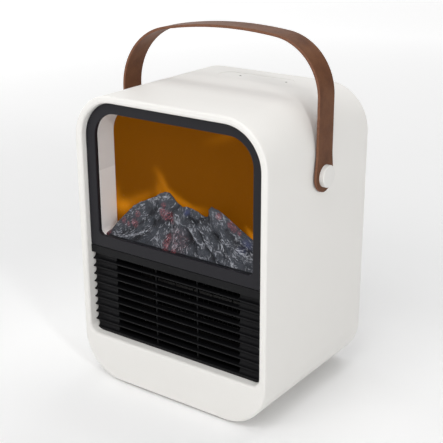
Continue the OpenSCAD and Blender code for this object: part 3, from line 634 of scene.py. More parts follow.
def make_camera():
    """Camera that looks at the object from the front right, a little from above."""
    data = bpy.data.cameras.new("camera")
    data.sensor_width = 36.0
    data.lens = CAMERA_LENS
    camera = link("camera", data)
    back = towards(CAMERA_AZIMUTH, CAMERA_ELEVATION)
    aim(camera, CAMERA_TARGET + back * CAMERA_DISTANCE, CAMERA_TARGET, -CAMERA_ROLL)
    bpy.context.scene.camera = camera


def area_light(name, place, width, height, power):
    """Rectangular soft box that faces the object; its place and size are in metres."""
    data = bpy.data.lights.new(name, "AREA")
    data.shape = "RECTANGLE"
    data.size = width
    data.size_y = height
    data.energy = power
    aim(link(name, data), Vector(place), LIGHT_TARGET)


def make_floor():
    """Pale floor, a little brighter far from the object."""
    shader = Shader("floor", 0.7, Specular_IOR_Level=0.2)
    shader.colour(shader.mix(shader.noise(3, detail=2), linear(244, 244, 244), linear(247, 247, 247)))
    spread = shader.add("ShaderNodeVectorMath", Vector=shader.place)
    spread.operation = "LENGTH"
    shader.glow((1, 1, 1, 1), shader.remap(spread.outputs["Value"], 0.35, 1.8, 0.03, 0.52))
    mesh = bpy.data.meshes.new("floor")
    reach = 6.0
    mesh.from_pydata([(-reach, -reach, 0), (reach, -reach, 0), (reach, reach, 0), (-reach, reach, 0)],
                     [], [(0, 1, 2, 3)])
    mesh.materials.append(shader.material)
    link("floor", mesh)


def make_lights():
    """Even room light, soft boxes all round and one small key light from the right."""
    world = bpy.data.worlds.new("studio")
    bpy.context.scene.world = world
    world.use_nodes = True
    background = world.node_tree.nodes["Background"]
    background.inputs["Color"].default_value = (1, 1, 1, 1)
    background.inputs["Strength"].default_value = 0.25
    area_light("overhead", (0.0, 0.0, 1.3), 0.6, 0.6, 3.1)
    area_light("front_fill", (0.1, -0.9, 1.2), 1.0, 0.8, 7.7)
    area_light("back_fill", (0.0, 0.9, 1.2), 1.0, 0.8, 3.2)
    area_light("left_fill", (-1.1, -1.2, 0.6), 1.0, 0.9, 3.1)
    area_light("left_side", (-2.6, 0.35, 0.75), 1.7, 1.6, 18.0)
    area_light("backdrop", (-1.9, 2.8, 1.0), 3.4, 1.9, 11.0)
    area_light("key", (1.3, -0.75, 0.75), 0.15, 0.15, 5.8)


bpy.context.scene.view_settings.view_transform = "Standard"
make_camera()
make_floor()
make_lights()


# ---------- casing ----------

def foot_places():
    """Middle (x, y) of each rubber foot."""
    return [(x, y) for x in (foot_low.x + FOOT_R, foot_high.x - FOOT_R)
            for y in (foot_low.y + FOOT_R, foot_high.y - FOOT_R)]


def make_casing():
    """The moulded shell: outer skin, round front rim, chin and inner wall as one closed skin."""
    foot_seat = 0.8
    foot_play = 0.3
    stem_hole_r = 4.3
    flange_hole_r = 5.5
    above = TOP + 5
    below = BASE - 4
    inside = BASE + 6
    loops = [at_y(casing_outline(WALL), BACK)]
    for c, s in quarter(5):
        loops.append(at_y(casing_outline(EDGE_R * (1 - s)), BACK - EDGE_R * (1 - c)))
    for y in (BACK - EDGE_R - 6, 40, 0, -40, FRONT + EDGE_R + 6):
        loops.append(at_y(casing_outline(0), y))
    for c, s in quarter(6):
        loops.append(at_y(casing_outline(EDGE_R * (1 - c)), FRONT + EDGE_R * (1 - s)))
    for c, s in quarter(8):
        loops.append(at_y(opening_outline(RIM_R * (1 - s)), FRONT + RIM_R * (1 - c)))
    loops.append(at_y(opening_outline(0), FRONT + RIM_D))
    loops.append(at_y(casing_outline(WALL), FRONT + RIM_D))
    recess = stadium_outline(PANEL_X, PANEL_Y, PANEL_L + PANEL_PLAY, PANEL_W + PANEL_PLAY)
    cutters = [prism(recess, "z", PANEL_FLOOR, above)]
    for x, y in foot_places():
        seat = circle_outline(x, y, FOOT_R + foot_play)
        cutters.append(prism(seat, "z", below, BASE + foot_seat))
    plunger_low, plunger_high = box_mm("tip_plunger")
    plunger_y = (plunger_low.y + plunger_high.y) / 2
    for radius, low in ((stem_hole_r, below), (flange_hole_r, BASE + WALL - 0.1)):
        cutters.append(prism(circle_outline(0, plunger_y, radius), "z", low, inside))
    new_piece("casing", loft(loops, wrap=True), "chassis", "casing_white", ["housing"], cutters)


make_casing()


# ---------- front ----------

def make_bezel():
    """Satin black frame: rounded outer edge, fine step round the window, lip behind."""
    y0 = bezel_low.y
    y1 = y0 + 2.5
    y2 = y0 + 5.0
    edge = 0.5
    sill = 0.7
    lower_r = 0.8
    lip = 1.4
    collar = 2 * lip

    def outer_outline(inset):
        return rounded_outline(OPEN_HALF - GAP - inset, bezel_low.z + inset, OPEN_HIGH - GAP - inset,
                               OPEN_R - GAP - inset, lower_r)
    loops = [at_y(outer_outline(0), y1)]
    for c, s in quarter(3):
        loops.append(at_y(outer_outline(edge * (1 - c)), y0 + edge * (1 - s)))
    for c, s in quarter(4):
        loops.append(at_y(window_outline(sill * (1 - s)), y0 + sill * (1 - c)))
    for offset, y in ((0, y1), (lip, y1), (lip, y2), (collar, y2), (collar, y1)):
        loops.append(at_y(window_outline(offset), y))
    new_piece("window_frame", loft(loops, wrap=True), "chassis", "frame_black", ["front_bezel"])


RIDGES = 10
PITCH = 7.09
RIDGE_TOP = BASE + 104.6
SLOT_HALF = 63.0
BLADE_T = 1.2
RIB_X = 21.1
RIB_T = 1.5


def ridge_heights():
    """Height of each louvre's tip, from the top down."""
    return [RIDGE_TOP - i * PITCH for i in range(RIDGES)]


def grille_profile(tip_y, rail_y, back_y):
    """The ridged face in y and z: round tips with concave hollows between them."""
    tip_r = BLADE_T / 2
    tip_depth = tip_r * 0.6
    tip_steps = 6
    hollow_r = (PITCH - BLADE_T) / 2
    hollow_steps = 14
    edge = 0.3
    points = [(back_y, grille_high.z), (rail_y + edge, grille_high.z), (rail_y, grille_high.z - edge)]
    rail_z = RIDGE_TOP + PITCH - tip_r
    points += [(rail_y, rail_z + 0.4), (rail_y + 0.25, rail_z)]
    for z in ridge_heights():
        centre = z + PITCH / 2
        for i in range(hollow_steps + 1):
            a = math.radians(90 - 180 * i / hollow_steps)
            points.append((tip_y + tip_depth + hollow_r * math.cos(a), centre + hollow_r * math.sin(a)))
        for i in range(1, tip_steps):
            a = math.radians(90 + 180 * i / tip_steps)
            points.append((tip_y + tip_depth + tip_depth * math.cos(a), z + tip_r * math.sin(a)))
    points += [(tip_y + tip_depth, grille_low.z), (back_y, grille_low.z)]
    return points


def make_grille():
    """Outlet grille: scalloped face, slots through its middle and two slim ribs."""
    tip_y = FRONT + 7.5
    rail_y = FRONT + 6.0
    back_y = FRONT + 13.0
    low = OPEN_LOW + GAP
    half = OPEN_HALF - GAP
    profile = grille_profile(tip_y, rail_y, back_y)
    profile = [(y, max(z, low)) for y, z in profile]
    piece = link("louvre_grille", new_mesh("louvre_grille", *prism(profile, "x", -half, half)))
    mask = prism(rounded_outline(half, low, grille_high.z + 1, 1.0, OPEN_LOW_R - GAP), "y",
                 FRONT, back_y + 2)
    cut(piece, mask, operation="INTERSECT")
    slots = []
    for z in ridge_heights():
        height = PITCH - BLADE_T
        outline = rounded_outline(SLOT_HALF, z + BLADE_T / 2, z + BLADE_T / 2 + height, 1.5, 1.5)
        slots.append(prism(outline, "y", FRONT, back_y + 2))
    cut(piece, joined(*slots))
    ribs = []
    rib_y = tip_y + 3.2
    rib_side = [(RIB_T / 2, back_y), (RIB_T / 2, rib_y + 0.4), (RIB_T / 4, rib_y)]
    for x in (-RIB_X, RIB_X):
        section = [(x - off, y) for off, y in rib_side] + [(x + off, y) for off, y in rib_side[::-1]]
        ribs.append(prism(section, "z", RIDGE_TOP - (RIDGES - 1) * PITCH, RIDGE_TOP + PITCH))
    cut(piece, *ribs, operation="UNION")
    shade(piece, 38)
    paint(piece, "grille_black")
    finish_piece(piece, "chassis", ["outlet_grille"])


def make_liner():
    """Lining of the firebox: an open frame with round upper corners."""
    wall = 1.5
    edge = 0.3
    half = liner_high.x - wall
    low = liner_low.z + wall
    high = liner_high.z - wall
    radius = WINDOW_R + 1.0
    low_radius = WINDOW_LOW_R + 1.0

    def outline(offset):
        return rounded_outline(half + offset, low - offset, high + offset, radius + offset,
                               low_radius + offset)
    y0 = liner_low.y
    y1 = liner_high.y
    loops = [at_y(outline(wall), y0), at_y(outline(edge), y0), at_y(outline(0), y0 + edge),
             at_y(outline(0), y1), at_y(outline(wall), y1)]
    new_piece("firebox_lining", loft(loops, wrap=True), "chassis", "firebox_white", ["firebox_liner"])


def noise_field(x, z, scale, seed):
    """Smooth noise between -1 and 1 at each point of two arrays."""
    flat = [noise.noise(Vector((a * scale, b * scale, seed))) for a, b in zip(x.ravel(), z.ravel())]
    return np.array(flat).reshape(x.shape)


def line_distance(line, x, z):
    """For each point of two arrays: distance to a line, its direction there, and the share passed."""
    best = np.full(x.shape, 1e9)
    way_x = np.zeros(x.shape)
    way_z = np.zeros(x.shape)
    share = np.zeros(x.shape)
    spans = [math.hypot(x1 - x0, z1 - z0) for (x0, z0), (x1, z1) in zip(line, line[1:])]
    passed = 0.0
    for (x0, z0), (x1, z1), span in zip(line, line[1:], spans):
        ux = (x1 - x0) / span
        uz = (z1 - z0) / span
        along = np.clip((x - x0) * ux + (z - z0) * uz, 0, span)
        gap = np.hypot(x - x0 - ux * along, z - z0 - uz * along)
        nearer = gap < best
        best = np.where(nearer, gap, best)
        way_x = np.where(nearer, ux, way_x)
        way_z = np.where(nearer, uz, way_z)
        share = np.where(nearer, (passed + along) / sum(spans), share)
        passed += span
    return best, way_x, way_z, share


# Flames on the screen: points in x and z from the foot up, width at the foot and at the tip, brightness,
# and how much narrower the flame is on its right.
FLAMES = [
    ([(16, 163), (3, 162.5), (-8, 165.5), (-16, 169), (-23, 173), (-26, 178), (-29, 183), (-34, 188)],
     5.0, 4.5, 0.66, 0.75),
    ([(-29, 162), (-32, 178)], 6.5, 5.0, 0.46, 1.0),
    ([(-80, 147), (-71, 150.5), (-62, 153)], 9.0, 7.0, 0.88, 1.0),
    ([(-66, 153), (-52, 160), (-38, 168)], 6.5, 5.0, 0.40, 1.0),
    ([(-84, 150), (-78, 158), (-76, 168)], 7.0, 5.0, 0.30, 1.0),
    ([(68, 143), (62, 149), (55, 157)], 6.5, 3.0, 0.85, 0.8),
    ([(16, 219), (35, 226), (52, 234)], 4.0, 6.0, 0.15, 1.0),
]


def flame_glow(x, z):
    """Brightness of the flames at points of the screen, with wavering edges."""
    px = x + 1.4 * noise_field(x, z, 0.05, 3.1) + 0.8 * noise_field(x, z, 0.12, 9.4)
    total = np.zeros(x.shape)
    for points, foot_width, tip_width, peak, right_side in FLAMES:
        gap, way_x, way_z, share = line_distance(points, px, z)
        foot_x, foot_z = points[0]
        width = foot_width + (tip_width - foot_width) * share
        on_right = (px - foot_x) * way_z - (z - foot_z) * way_x > 0
        width = np.where(on_right, width * right_side, width)
        fade = 1 - 0.7 * (2 * share - 1) ** 2
        total += peak * fade * np.exp(-1.6 * (gap / width) ** 2)
    return np.clip(total, 0, 1)


def make_screen():
    """Amber screen with the flames' glow stored on a fine grid."""
    half = screen_high.x
    low = screen_low.z
    high = screen_high.z
    radius = WINDOW_R + 2.5
    y0 = screen_low.y
    y1 = screen_high.y
    columns = 150
    rows = 104
    verts = []
    for j in range(rows + 1):
        z = low + (high - low) * j / rows
        over = max(0.0, z - (high - radius))
        reach = half - radius + math.sqrt(max(0.0, radius ** 2 - over ** 2))
        verts += [(-reach + 2 * reach * i / columns, y0, z) for i in range(columns + 1)]
    places = np.array(verts)
    glow = flame_glow(places[:, 0], places[:, 2])
    front_count = len(verts)
    verts += [(x, y1, z) for x, _, z in verts]
    front_faces = grid_faces(columns, rows)
    faces = front_faces + [tuple(front_count + i for i in face[::-1]) for face in front_faces]
    rim = list(range(columns + 1))
    rim += [j * (columns + 1) + columns for j in range(1, rows + 1)]
    rim += [rows * (columns + 1) + i for i in range(columns - 1, -1, -1)]
    rim += [j * (columns + 1) for j in range(rows - 1, 0, -1)]
    for a, b in zip(rim, rim[1:] + rim[:1]):
        faces.append((b, a, front_count + a, front_count + b))
    mesh = bpy.data.meshes.new("amber_screen")
    mesh.from_pydata([Vector(v) * MM for v in verts], [], faces)
    store(mesh, "glow", np.concatenate([glow, glow]))
    mesh.materials.append(MATERIALS["amber_screen"])
    finish_piece(link("amber_screen", mesh), "chassis", ["flame_screen"])


def near(line, x, z, width):
    """1 along a line, falling smoothly to 0 on both sides of it."""
    return np.exp(-(line_distance(line, x, z)[0] / width) ** 2)


def store(mesh, name, values):
    """Keeps one number per vertex for the material to read."""
    attribute = mesh.attributes.new(name, "FLOAT", "POINT")
    attribute.data.foreach_set("value", np.array(values, np.float32))


# The bed's skyline in x and z, seen from the front.
SKYLINE = [(-78, 130), (-75, 132), (-70, 139), (-60, 148.4), (-52, 156.6), (-44, 161.2), (-36, 165.2),
           (-30, 168.3), (-23, 172.6), (-18, 175.0), (-14, 175.0), (-11, 171.6), (-7, 167.2), (-2, 164.6),
           (3, 166.6),
           (10, 165.2), (16, 163.2), (21, 160.8), (23, 161.8), (24.5, 167.6), (28, 171.4), (33, 170.6),
           (40, 167.2), (48, 162.6), (56, 158), (64, 153.6), (72, 149), (78, 144.5)]

# Crests of the bed: points in x and z from the top down, height and half width.
CRESTS = [
    ([(-14, 177), (-31, 168), (-52, 155), (-70, 140), (-77, 131)], 2.4, 6.0),
    ([(-18, 170), (-31, 155), (-43, 143), (-58, 130)], 2.0, 4.0),
    ([(-10, 163), (-19, 151), (-29, 142), (-37, 136)], 2.2, 3.0),
    ([(-4, 164), (-3, 150), (-5, 138), (-7, 130)], 1.4, 3.6),
    ([(3, 166), (1, 152), (6, 140), (9, 129)], 1.8, 3.0),
    ([(-7, 161), (-3, 155), (4, 153), (12, 148.5), (26, 138.5), (34, 129)], 3.0, 2.6),
    ([(14, 159), (19, 153), (26, 145.5), (33, 140.5), (48, 128)], 2.6, 3.2),
    ([(27, 170), (39, 157), (54, 145), (68, 136)], 2.8, 4.2),
    ([(32, 170), (53, 159), (67, 153), (77, 146)], 2.2, 4.6),
]

# Gullies of the bed, in the same way.
GULLIES = [
    ([(-4, 167), (-11, 158), (-12, 146), (-11, 130)], 2.4, 3.0),
    ([(-24, 162), (-36, 149), (-50, 138), (-60, 133)], 2.0, 2.6),
    ([(-26, 148), (-33, 140), (-44, 131)], 2.2, 3.6),
    ([(5, 158), (14, 155), (20, 161)], 1.8, 3.0),
    ([(8, 149), (12, 141), (20, 130)], 2.4, 3.0),
    ([(17, 151), (26, 142), (40, 129)], 1.6, 1.8),
    ([(24, 164), (27, 154), (38, 146), (46, 136)], 2.0, 2.4),
    ([(44, 156), (56, 147), (74, 141)], 1.4, 2.6),
]

# Lines along which the dry brushing is brightest, from the top down.
BRIGHT_LINES = [
    [(-15, 172), (-24, 169), (-31, 165)],
    [(-30, 143), (-39, 137), (-51, 132.6), (-66, 130)],
    [(-7, 160), (-4, 155.5), (4, 152.8), (12, 148.7), (15, 145.5), (26, 138.5)],
    [(18, 153), (26, 145.6), (33, 140.7)],
    [(38, 145), (43, 140), (52, 134), (58, 130)],
    [(51, 142), (53.5, 137.5), (57, 136.5)],
    [(42, 147), (59, 143), (71, 138)],
    [(17, 133), (27, 129.6)],
    [(-21, 143), (-23, 136), (-20, 131)],
]

# Where the slate is left bare, and where painted shade darkens it: x, z and radius.
BARE = [(-32, 136, 8), (-40, 131, 7), (9, 148, 4), (11.5, 140, 5), (15, 134, 5), (19, 140, 4), (-27, 149, 4),
        (36, 131, 5), (59, 129, 8), (12, 157, 4)]
SHADE_SPOTS = [(-20, 151, 9), (-31, 156, 7), (9, 157, 6), (21, 158, 6), (11, 142, 6), (-6, 148, 5), (37, 150, 6)]

# Glowing embers in x and z: place and radius.
EMBERS = [(-45.5, 151.5, 3.4), (-60.4, 143, 3.2), (-74, 131.5, 3.4), (-47.2, 144, 4.6), (-54, 141.5, 2.6),
          (-13.6, 156.6, 5.0), (-19, 158.4, 4.0), (-9.5, 152.6, 3.0), (-11.5, 134.6, 4.4),
          (-10.5, 139.5, 3.4), (-10.7, 131, 3.6), (-2.5, 130.4, 3.0), (-18, 164.5, 2.8),
          (36.4, 166, 3.2), (46.8, 161, 3.6), (50, 158.2, 3.4), (55, 155.5, 2.6)]

# Finely crackled, faintly red stretch below the middle, and a faint violet stain: x, z and radius.
CRACKLE = [(1, 139.5, 13)]
VIOLET = [(62, 147, 7), (4, 162, 4)]


def interpolate(points, x):
    """Height of a line of points at x."""
    for (x0, z0), (x1, z1) in zip(points, points[1:]):
        if x <= x1:
            return z0 + (z1 - z0) * (x - x0) / (x1 - x0)
    return points[-1][1]


def spots(places, x, z):
    """1 at each place's middle and 0 from its radius outwards."""
    return np.max([np.clip(1 - np.hypot(x - px, z - pz) / r, 0, 1) for px, pz, r in places], axis=0)


class Slate:
    """Raster of the ember bed in x and z: the way its grain runs, and its fine brushed ridges."""

    LEFT, LOW, STEP = -80.0, 126.0, 0.25
    COLUMNS, ROWS = 641, 221
    REACH = 3
    SPAN = (-78, 78)
    HEIGHTS = (129, 177)

    def __init__(self):
        self.x, self.z = np.meshgrid(self.LEFT + self.STEP * np.arange(self.COLUMNS),
                                     self.LOW + self.STEP * np.arange(self.ROWS))
        self.ridges = np.zeros(self.x.shape)
        self.pale = np.zeros(self.x.shape)
        self.rng = np.random.default_rng(11)
        sum_x = np.zeros(self.x.shape)
        sum_z = np.zeros(self.x.shape)
        for line in [crest[0] for crest in CRESTS] + BRIGHT_LINES:
            gap, way_x, way_z, _ = line_distance(line, self.x, self.z)
            weight = 1 / (gap ** 2 + 3) ** 1.5
            sum_x += way_x * weight
            sum_z += way_z * weight
        self.grain = np.arctan2(sum_z, sum_x) + 0.55 * noise_field(self.x, self.z, 0.16, 12.0)

    def cell(self, x, z):
        """Row and column of a point, or nothing near the raster's edge."""
        column = int(round((x - self.LEFT) / self.STEP))
        row = int(round((z - self.LOW) / self.STEP))
        if self.REACH <= column < self.COLUMNS - self.REACH and self.REACH <= row < self.ROWS - self.REACH:
            return row, column
        return None

    def stroke(self, x, z, length, width, strength, paint, wander):
        """A short line of soft dots that follows the grain and fades at both ends."""
        count = max(3, int(length / self.STEP))
        turn = self.rng.normal(0, wander)
        for i in range(count):
            cell = self.cell(x, z)
            if cell is None:
                return
            row, column = cell
            window = (slice(row - self.REACH, row + self.REACH + 1),
                      slice(column - self.REACH, column + self.REACH + 1))
            gap = (self.x[window] - x) ** 2 + (self.z[window] - z) ** 2
            fade = math.sin(math.pi * (i + 0.7) / (count + 0.4)) ** 0.6
            dot = strength * fade * np.exp(-gap / width ** 2)
            np.maximum(self.ridges[window], dot, out=self.ridges[window])
            np.maximum(self.pale[window], dot * paint, out=self.pale[window])
            angle = self.grain[row, column] + turn
            turn += self.rng.normal(0, 0.14)
            x += self.STEP * math.cos(angle)
            z += self.STEP * math.sin(angle)

    def scatter(self, count, lengths, widths, strengths, paint, wander, chance):
        """Strokes all over the bed, as likely at each point as its chance says."""
        for _ in range(count):
            x = self.rng.uniform(*self.SPAN)
            z = self.rng.uniform(*self.HEIGHTS)
            cell = self.cell(x, z)
            if z > interpolate(SKYLINE, x) + 1 or self.rng.uniform() > chance[cell]:
                continue
            low, high = strengths
            strength = low + (high - low) * self.rng.uniform() ** 1.4
            self.stroke(x, z, self.rng.uniform(*lengths), self.rng.uniform(*widths), strength, paint, wander)

    def sample(self, field, x, z):
        """A field's values at points between its cells."""
        u = np.clip((x - self.LEFT) / self.STEP, 0, self.COLUMNS - 1.001)
        v = np.clip((z - self.LOW) / self.STEP, 0, self.ROWS - 1.001)
        column = u.astype(int)
        row = v.astype(int)
        u = u - column
        v = v - row
        low = field[row, column] * (1 - u) + field[row, column + 1] * u
        high = field[row + 1, column] * (1 - u) + field[row + 1, column + 1] * u
        return low * (1 - v) + high * v


def brush_slate():
    """Covers the bed with faint grain, dry-brushed patches and lines, and the crackled stretch."""
    slate = Slate()
    everywhere = np.ones(slate.x.shape)
    bare = np.clip(1.7 * spots(BARE, slate.x, slate.z), 0, 1)
    patches = np.clip(0.45 + 1.5 * noise_field(slate.x, slate.z, 0.13, 30.0), 0.08, 1) * (1 - 0.95 * bare)
    line_width = 0.9
    near_lines = np.zeros(slate.x.shape)
    for line in BRIGHT_LINES:
        near_lines = np.maximum(near_lines, near(line, slate.x, slate.z, line_width))
    crackled = np.clip(1.6 * spots(CRACKLE, slate.x, slate.z), 0, 1) * (1 - 0.9 * bare)
    # number of strokes, then their lengths, widths, strengths, paint, wander and chance
    slate.scatter(4200, (2.0, 6.0), (0.15, 0.21), (0.10, 0.38), 0.8, 0.16, everywhere * (1 - 0.6 * bare))
    slate.scatter(3600, (0.8, 4.5), (0.15, 0.22), (0.25, 1.00), 1.0, 0.20, patches)
    slate.scatter(7500, (1.0, 4.5), (0.17, 0.26), (0.35, 1.00), 1.0, 0.15, near_lines)
    slate.scatter(3000, (0.4, 1.5), (0.15, 0.22), (0.25, 0.85), 0.9, 0.80, crackled)
    return slate


def fold_heights(slate):
    """Height of the bed's folds above its plain slope, in millimetres, over the raster."""
    total = 0.9 * noise_field(slate.x, slate.z, 0.14, 3.0) + 0.5 * noise_field(slate.x, slate.z, 0.38, 6.0)
    for line, height, width in CRESTS:
        total += height * near(line, slate.x, slate.z, width)
    for line, depth, width in GULLIES:
        total -= depth * near(line, slate.x, slate.z, width)
    return total


BED_HALF = WINDOW_HALF
BED_FOOT = screen_low.z + 1.3
BED_COLUMNS = 560
BED_ROWS = 180
BED_BACK_ROWS = 8


def bed_surface(slate):
    """The bed's skin as grids of x, y and z: its face from the foot to the skyline, then its back."""
    foot_y = liner_low.y - 0.1
    crest_y = FRONT + 20.5
    back_y = screen_low.y - 0.7
    back_drop = 12
    bulge = 2.4
    ridge_height = 0.42
    folds = fold_heights(slate)
    across = np.linspace(-BED_HALF, BED_HALF, BED_COLUMNS + 1)
    skyline = np.array([interpolate(SKYLINE, x) for x in across])
    flat = across * 0
    skyline += 0.6 * noise_field(across, flat, 0.4, 2.2) + 0.35 * noise_field(across, flat, 1.3, 5.0)

    x, v = np.meshgrid(across, np.linspace(0, 1, BED_ROWS + 1))
    z = BED_FOOT + (skyline - BED_FOOT) * v
    inside = np.clip(5 * v, 0, 1)
    y = foot_y + (crest_y - foot_y) * v ** 1.1
    y += bulge * inside - slate.sample(folds, x, z) * inside * (1 - 0.5 * v ** 4)
    y -= ridge_height * slate.sample(slate.ridges, x, z)
    y = np.maximum(y, foot_y)

    drop = np.linspace(0, 1, BED_BACK_ROWS + 1)[1:, None]
    x = np.vstack([x, np.repeat(across[None, :], BED_BACK_ROWS, axis=0)])
    z = np.vstack([z, skyline - back_drop * drop ** 1.6])
    y = np.vstack([y, y[-1] + (back_y - y[-1]) * drop])
    return x, y, z


def bed_paints(slate, x, z):
    """How much of each paint lies at each point of the bed's skin, from 0 to 1; its back is left plain."""
    shown = np.ones(x.shape)
    shown[BED_ROWS + 1:] = 0.0
    ridges = slate.sample(slate.ridges, x, z)
    broken = np.clip(0.20 + 2.8 * noise_field(x, z, 1.5, 40.0), 0, 1)
    heat = np.clip(2.2 * spots(EMBERS, x, z), 0, 1) * broken * (0.35 + 0.65 * np.clip(2.5 * ridges, 0, 1))
    crackle = 0.5 * np.clip(1.6 * spots(CRACKLE, x, z), 0, 1) * np.clip(2 * ridges, 0, 1) * broken
    gullies = np.zeros(x.shape)
    for line, _, width in GULLIES:
        gullies = np.maximum(gullies, near(line, x, z, 0.7 * width))
    # painted shade in the gullies and in dark patches, made uneven by random tone
    painted_shade = np.clip(0.75 * gullies + 0.7 * spots(SHADE_SPOTS, x, z) + 0.5 * noise_field(x, z, 0.2, 50.0), 0, 0.9)
    # painted shadow of the sill along the bed's foot; the pale brushing is left off there
    foot = np.clip((BED_FOOT + 1.4 - z) / 0.7, 0, 1)
    painted_shade = np.maximum(painted_shade, foot)
    return {
        "pale": slate.sample(slate.pale, x, z) * shown * (1 - foot),
        "ember": np.maximum(heat, crackle) * shown,
        "cool": 0.7 * spots(VIOLET, x, z) * shown,
        "painted_shade": painted_shade * shown,
    }


def make_rock():
    """Ember bed: folded slate with fine ridges, dry-brushed pale, and embers glowing in it."""
    slate = brush_slate()
    x, y, z = bed_surface(slate)
    rows = BED_ROWS + BED_BACK_ROWS
    verts = list(zip(x.ravel(), y.ravel(), z.ravel()))
    faces = grid_faces(BED_COLUMNS, rows)
    extra = close_below(verts, faces, BED_COLUMNS, rows, BED_FOOT - 0.4)
    mesh = bpy.data.meshes.new("ember_rocks")
    mesh.from_pydata([Vector(v) * MM for v in verts], [], faces)
    for name, values in bed_paints(slate, x, z).items():
        store(mesh, name, np.concatenate([values.ravel(), np.zeros(extra)]))
    for polygon in mesh.polygons:
        polygon.use_smooth = True
    mesh.materials.append(MATERIALS["ember_rock"])
    finish_piece(link("ember_rocks", mesh), "chassis", ["ember_bed"])


def grid_faces(columns, rows):
    """Quads of a grid whose points run row by row."""
    faces = []
    for j in range(rows):
        for i in range(columns):
            a = j * (columns + 1) + i
            b = a + columns + 1
            faces.append((a, a + 1, b + 1, b))
    return faces


def close_below(verts, faces, columns, rows, base_z):
    """Adds walls and a flat base under a grid, and says how many points that took."""
    count = columns + 1
    last = rows * count
    front = last + count
    back = front + count
    verts += [(x, y, base_z) for x, y, _ in verts[:count] + verts[last:front]]
    for i in range(columns):
        faces.append((front + i, front + i + 1, i + 1, i))
        faces.append((last + i, last + i + 1, back + i + 1, back + i))
        faces.append((back + i, back + i + 1, front + i + 1, front + i))
    left = range(0, front, count)
    right = range(last + columns, 0, -count)
    faces.append((front, *left, back))
    faces.append((back + columns, *right, front + columns))
    return 2 * count


make_bezel()
make_grille()
make_liner()
make_screen()
make_rock()


# ---------- handle ----------

STRAP_T = 2.2
STRAP_EDGE = 0.5
STRAP_HALF = 11.0
STRAP_FLARE = 16.0
STRAP_END_R = (strap_high.y - strap_low.y) / 2
CROWN_X = 15.5
CROWN_R = 349.0
SHOULDER_RIGHT = 45.9
SHOULDER_LEFT = 56.1


def strap_side_heights(shoulder_z):
    """Heights up one upright side of the strap: round its end, along its flare and up to its shoulder."""
    flare_z = PIVOT_Z + STRAP_FLARE
    heights = [PIVOT_Z - STRAP_END_R * c for c, _ in quarter(24)]
    heights += [PIVOT_Z + STRAP_FLARE * i / 8 for i in range(1, 9)]
    heights += [flare_z + (shoulder_z - flare_z) * i / 9 for i in range(1, 9)]
    return heights


def strap_line():
    """Points (x, z, normal x, normal z) along the strap's outer face, from the right end to the left."""
    crown_z = strap_high.z
    reach = strap_high.x
    crown_low = crown_z - CROWN_R

    def shoulder_z(x, r):
        """Height of a shoulder's centre, so that its arc of radius r meets the crown's smoothly."""
        return crown_low + math.sqrt((CROWN_R - r) ** 2 - (x - CROWN_X) ** 2)
    right = (reach - SHOULDER_RIGHT, shoulder_z(reach - SHOULDER_RIGHT, SHOULDER_RIGHT))
    left = (SHOULDER_LEFT - reach, shoulder_z(SHOULDER_LEFT - reach, SHOULDER_LEFT))
    to_right = math.atan2(right[1] - crown_low, right[0] - CROWN_X)
    to_left = math.atan2(left[1] - crown_low, left[0] - CROWN_X)
    stretches = [
        (right, SHOULDER_RIGHT, 0.0, to_right, 40),
        ((CROWN_X, crown_low), CROWN_R, to_right, to_left, 60),
        (left, SHOULDER_LEFT, to_left, math.pi, 44),
    ]
    points = [(reach, z, 1.0, 0.0) for z in strap_side_heights(right[1])]
    for centre, radius, start, end, steps in stretches:
        for i in range(steps + 1):
            a = start + (end - start) * i / steps
            points.append((centre[0] + radius * math.cos(a), centre[1] + radius * math.sin(a),
                           math.cos(a), math.sin(a)))
    points += [(-reach, z, -1.0, 0.0) for z in reversed(strap_side_heights(left[1]))]
    kept = [points[0]]
    for point in points[1:]:
        if math.hypot(point[0] - kept[-1][0], point[1] - kept[-1][1]) > 0.01:
            kept.append(point)
    return kept


def strap_half_width(z):
    """Half the strap's width: a round pad at each pivot that narrows upwards to the strap."""
    up = z - PIVOT_Z
    if up >= STRAP_FLARE:
        return STRAP_HALF
    far = math.hypot(STRAP_HALF, STRAP_FLARE)
    tangent = math.atan2(STRAP_FLARE, STRAP_HALF) - math.acos(STRAP_END_R / far)
    touch_y = STRAP_END_R * math.cos(tangent)
    touch_z = STRAP_END_R * math.sin(tangent)
    if up <= touch_z:
        return math.sqrt(max(0.0, STRAP_END_R ** 2 - up ** 2))
    return touch_y + (STRAP_HALF - touch_y) * (up - touch_z) / (STRAP_FLARE - touch_z)


def make_strap():
    """One closed strap: smooth faces, and softly rounded cut edges in their own material."""
    across = 12
    edge_steps = 4
    hole_r = 6.0
    steep = 0.45
    loops = []
    for x, z, nx, nz in strap_line():
        half_w = max(0.05, strap_half_width(z))
        edge = min(STRAP_EDGE, half_w * 0.9)
        flat = half_w - edge
        side = [(flat * (2 * i / across - 1), 0.0) for i in range(across + 1)]
        side += [(flat + edge * s, edge * (1 - c)) for c, s in quarter(edge_steps)[1:]]
        side += [(flat + edge * c, STRAP_T - edge + edge * s) for c, s in quarter(edge_steps)[:-1]]
        section = side + [(-y, STRAP_T - depth) for y, depth in side]
        loops.append([(x - nx * depth, y, z - nz * depth) for y, depth in section])
    piece = link("strap", new_mesh("strap", *loft_solid(loops)))
    for middle in (-strap_high.x, strap_high.x):
        cut(piece, prism(circle_outline(0, PIVOT_Z, hole_r), "x", middle - 10, middle + 10))
    paint(piece, "strap_leather")
    piece.data.materials.append(cut_edge_material())
    for polygon in piece.data.polygons:
        centre = polygon.center / MM
        on_side = abs(polygon.normal.y) > steep and abs(centre.y) > 0.5 * strap_half_width(centre.z)
        on_end = centre.z < PIVOT_Z and polygon.normal.z < -steep
        polygon.material_index = 1 if on_side or on_end else 0
    shade(piece, 50)
    finish_piece(piece, "handle", ["strap_handle"])


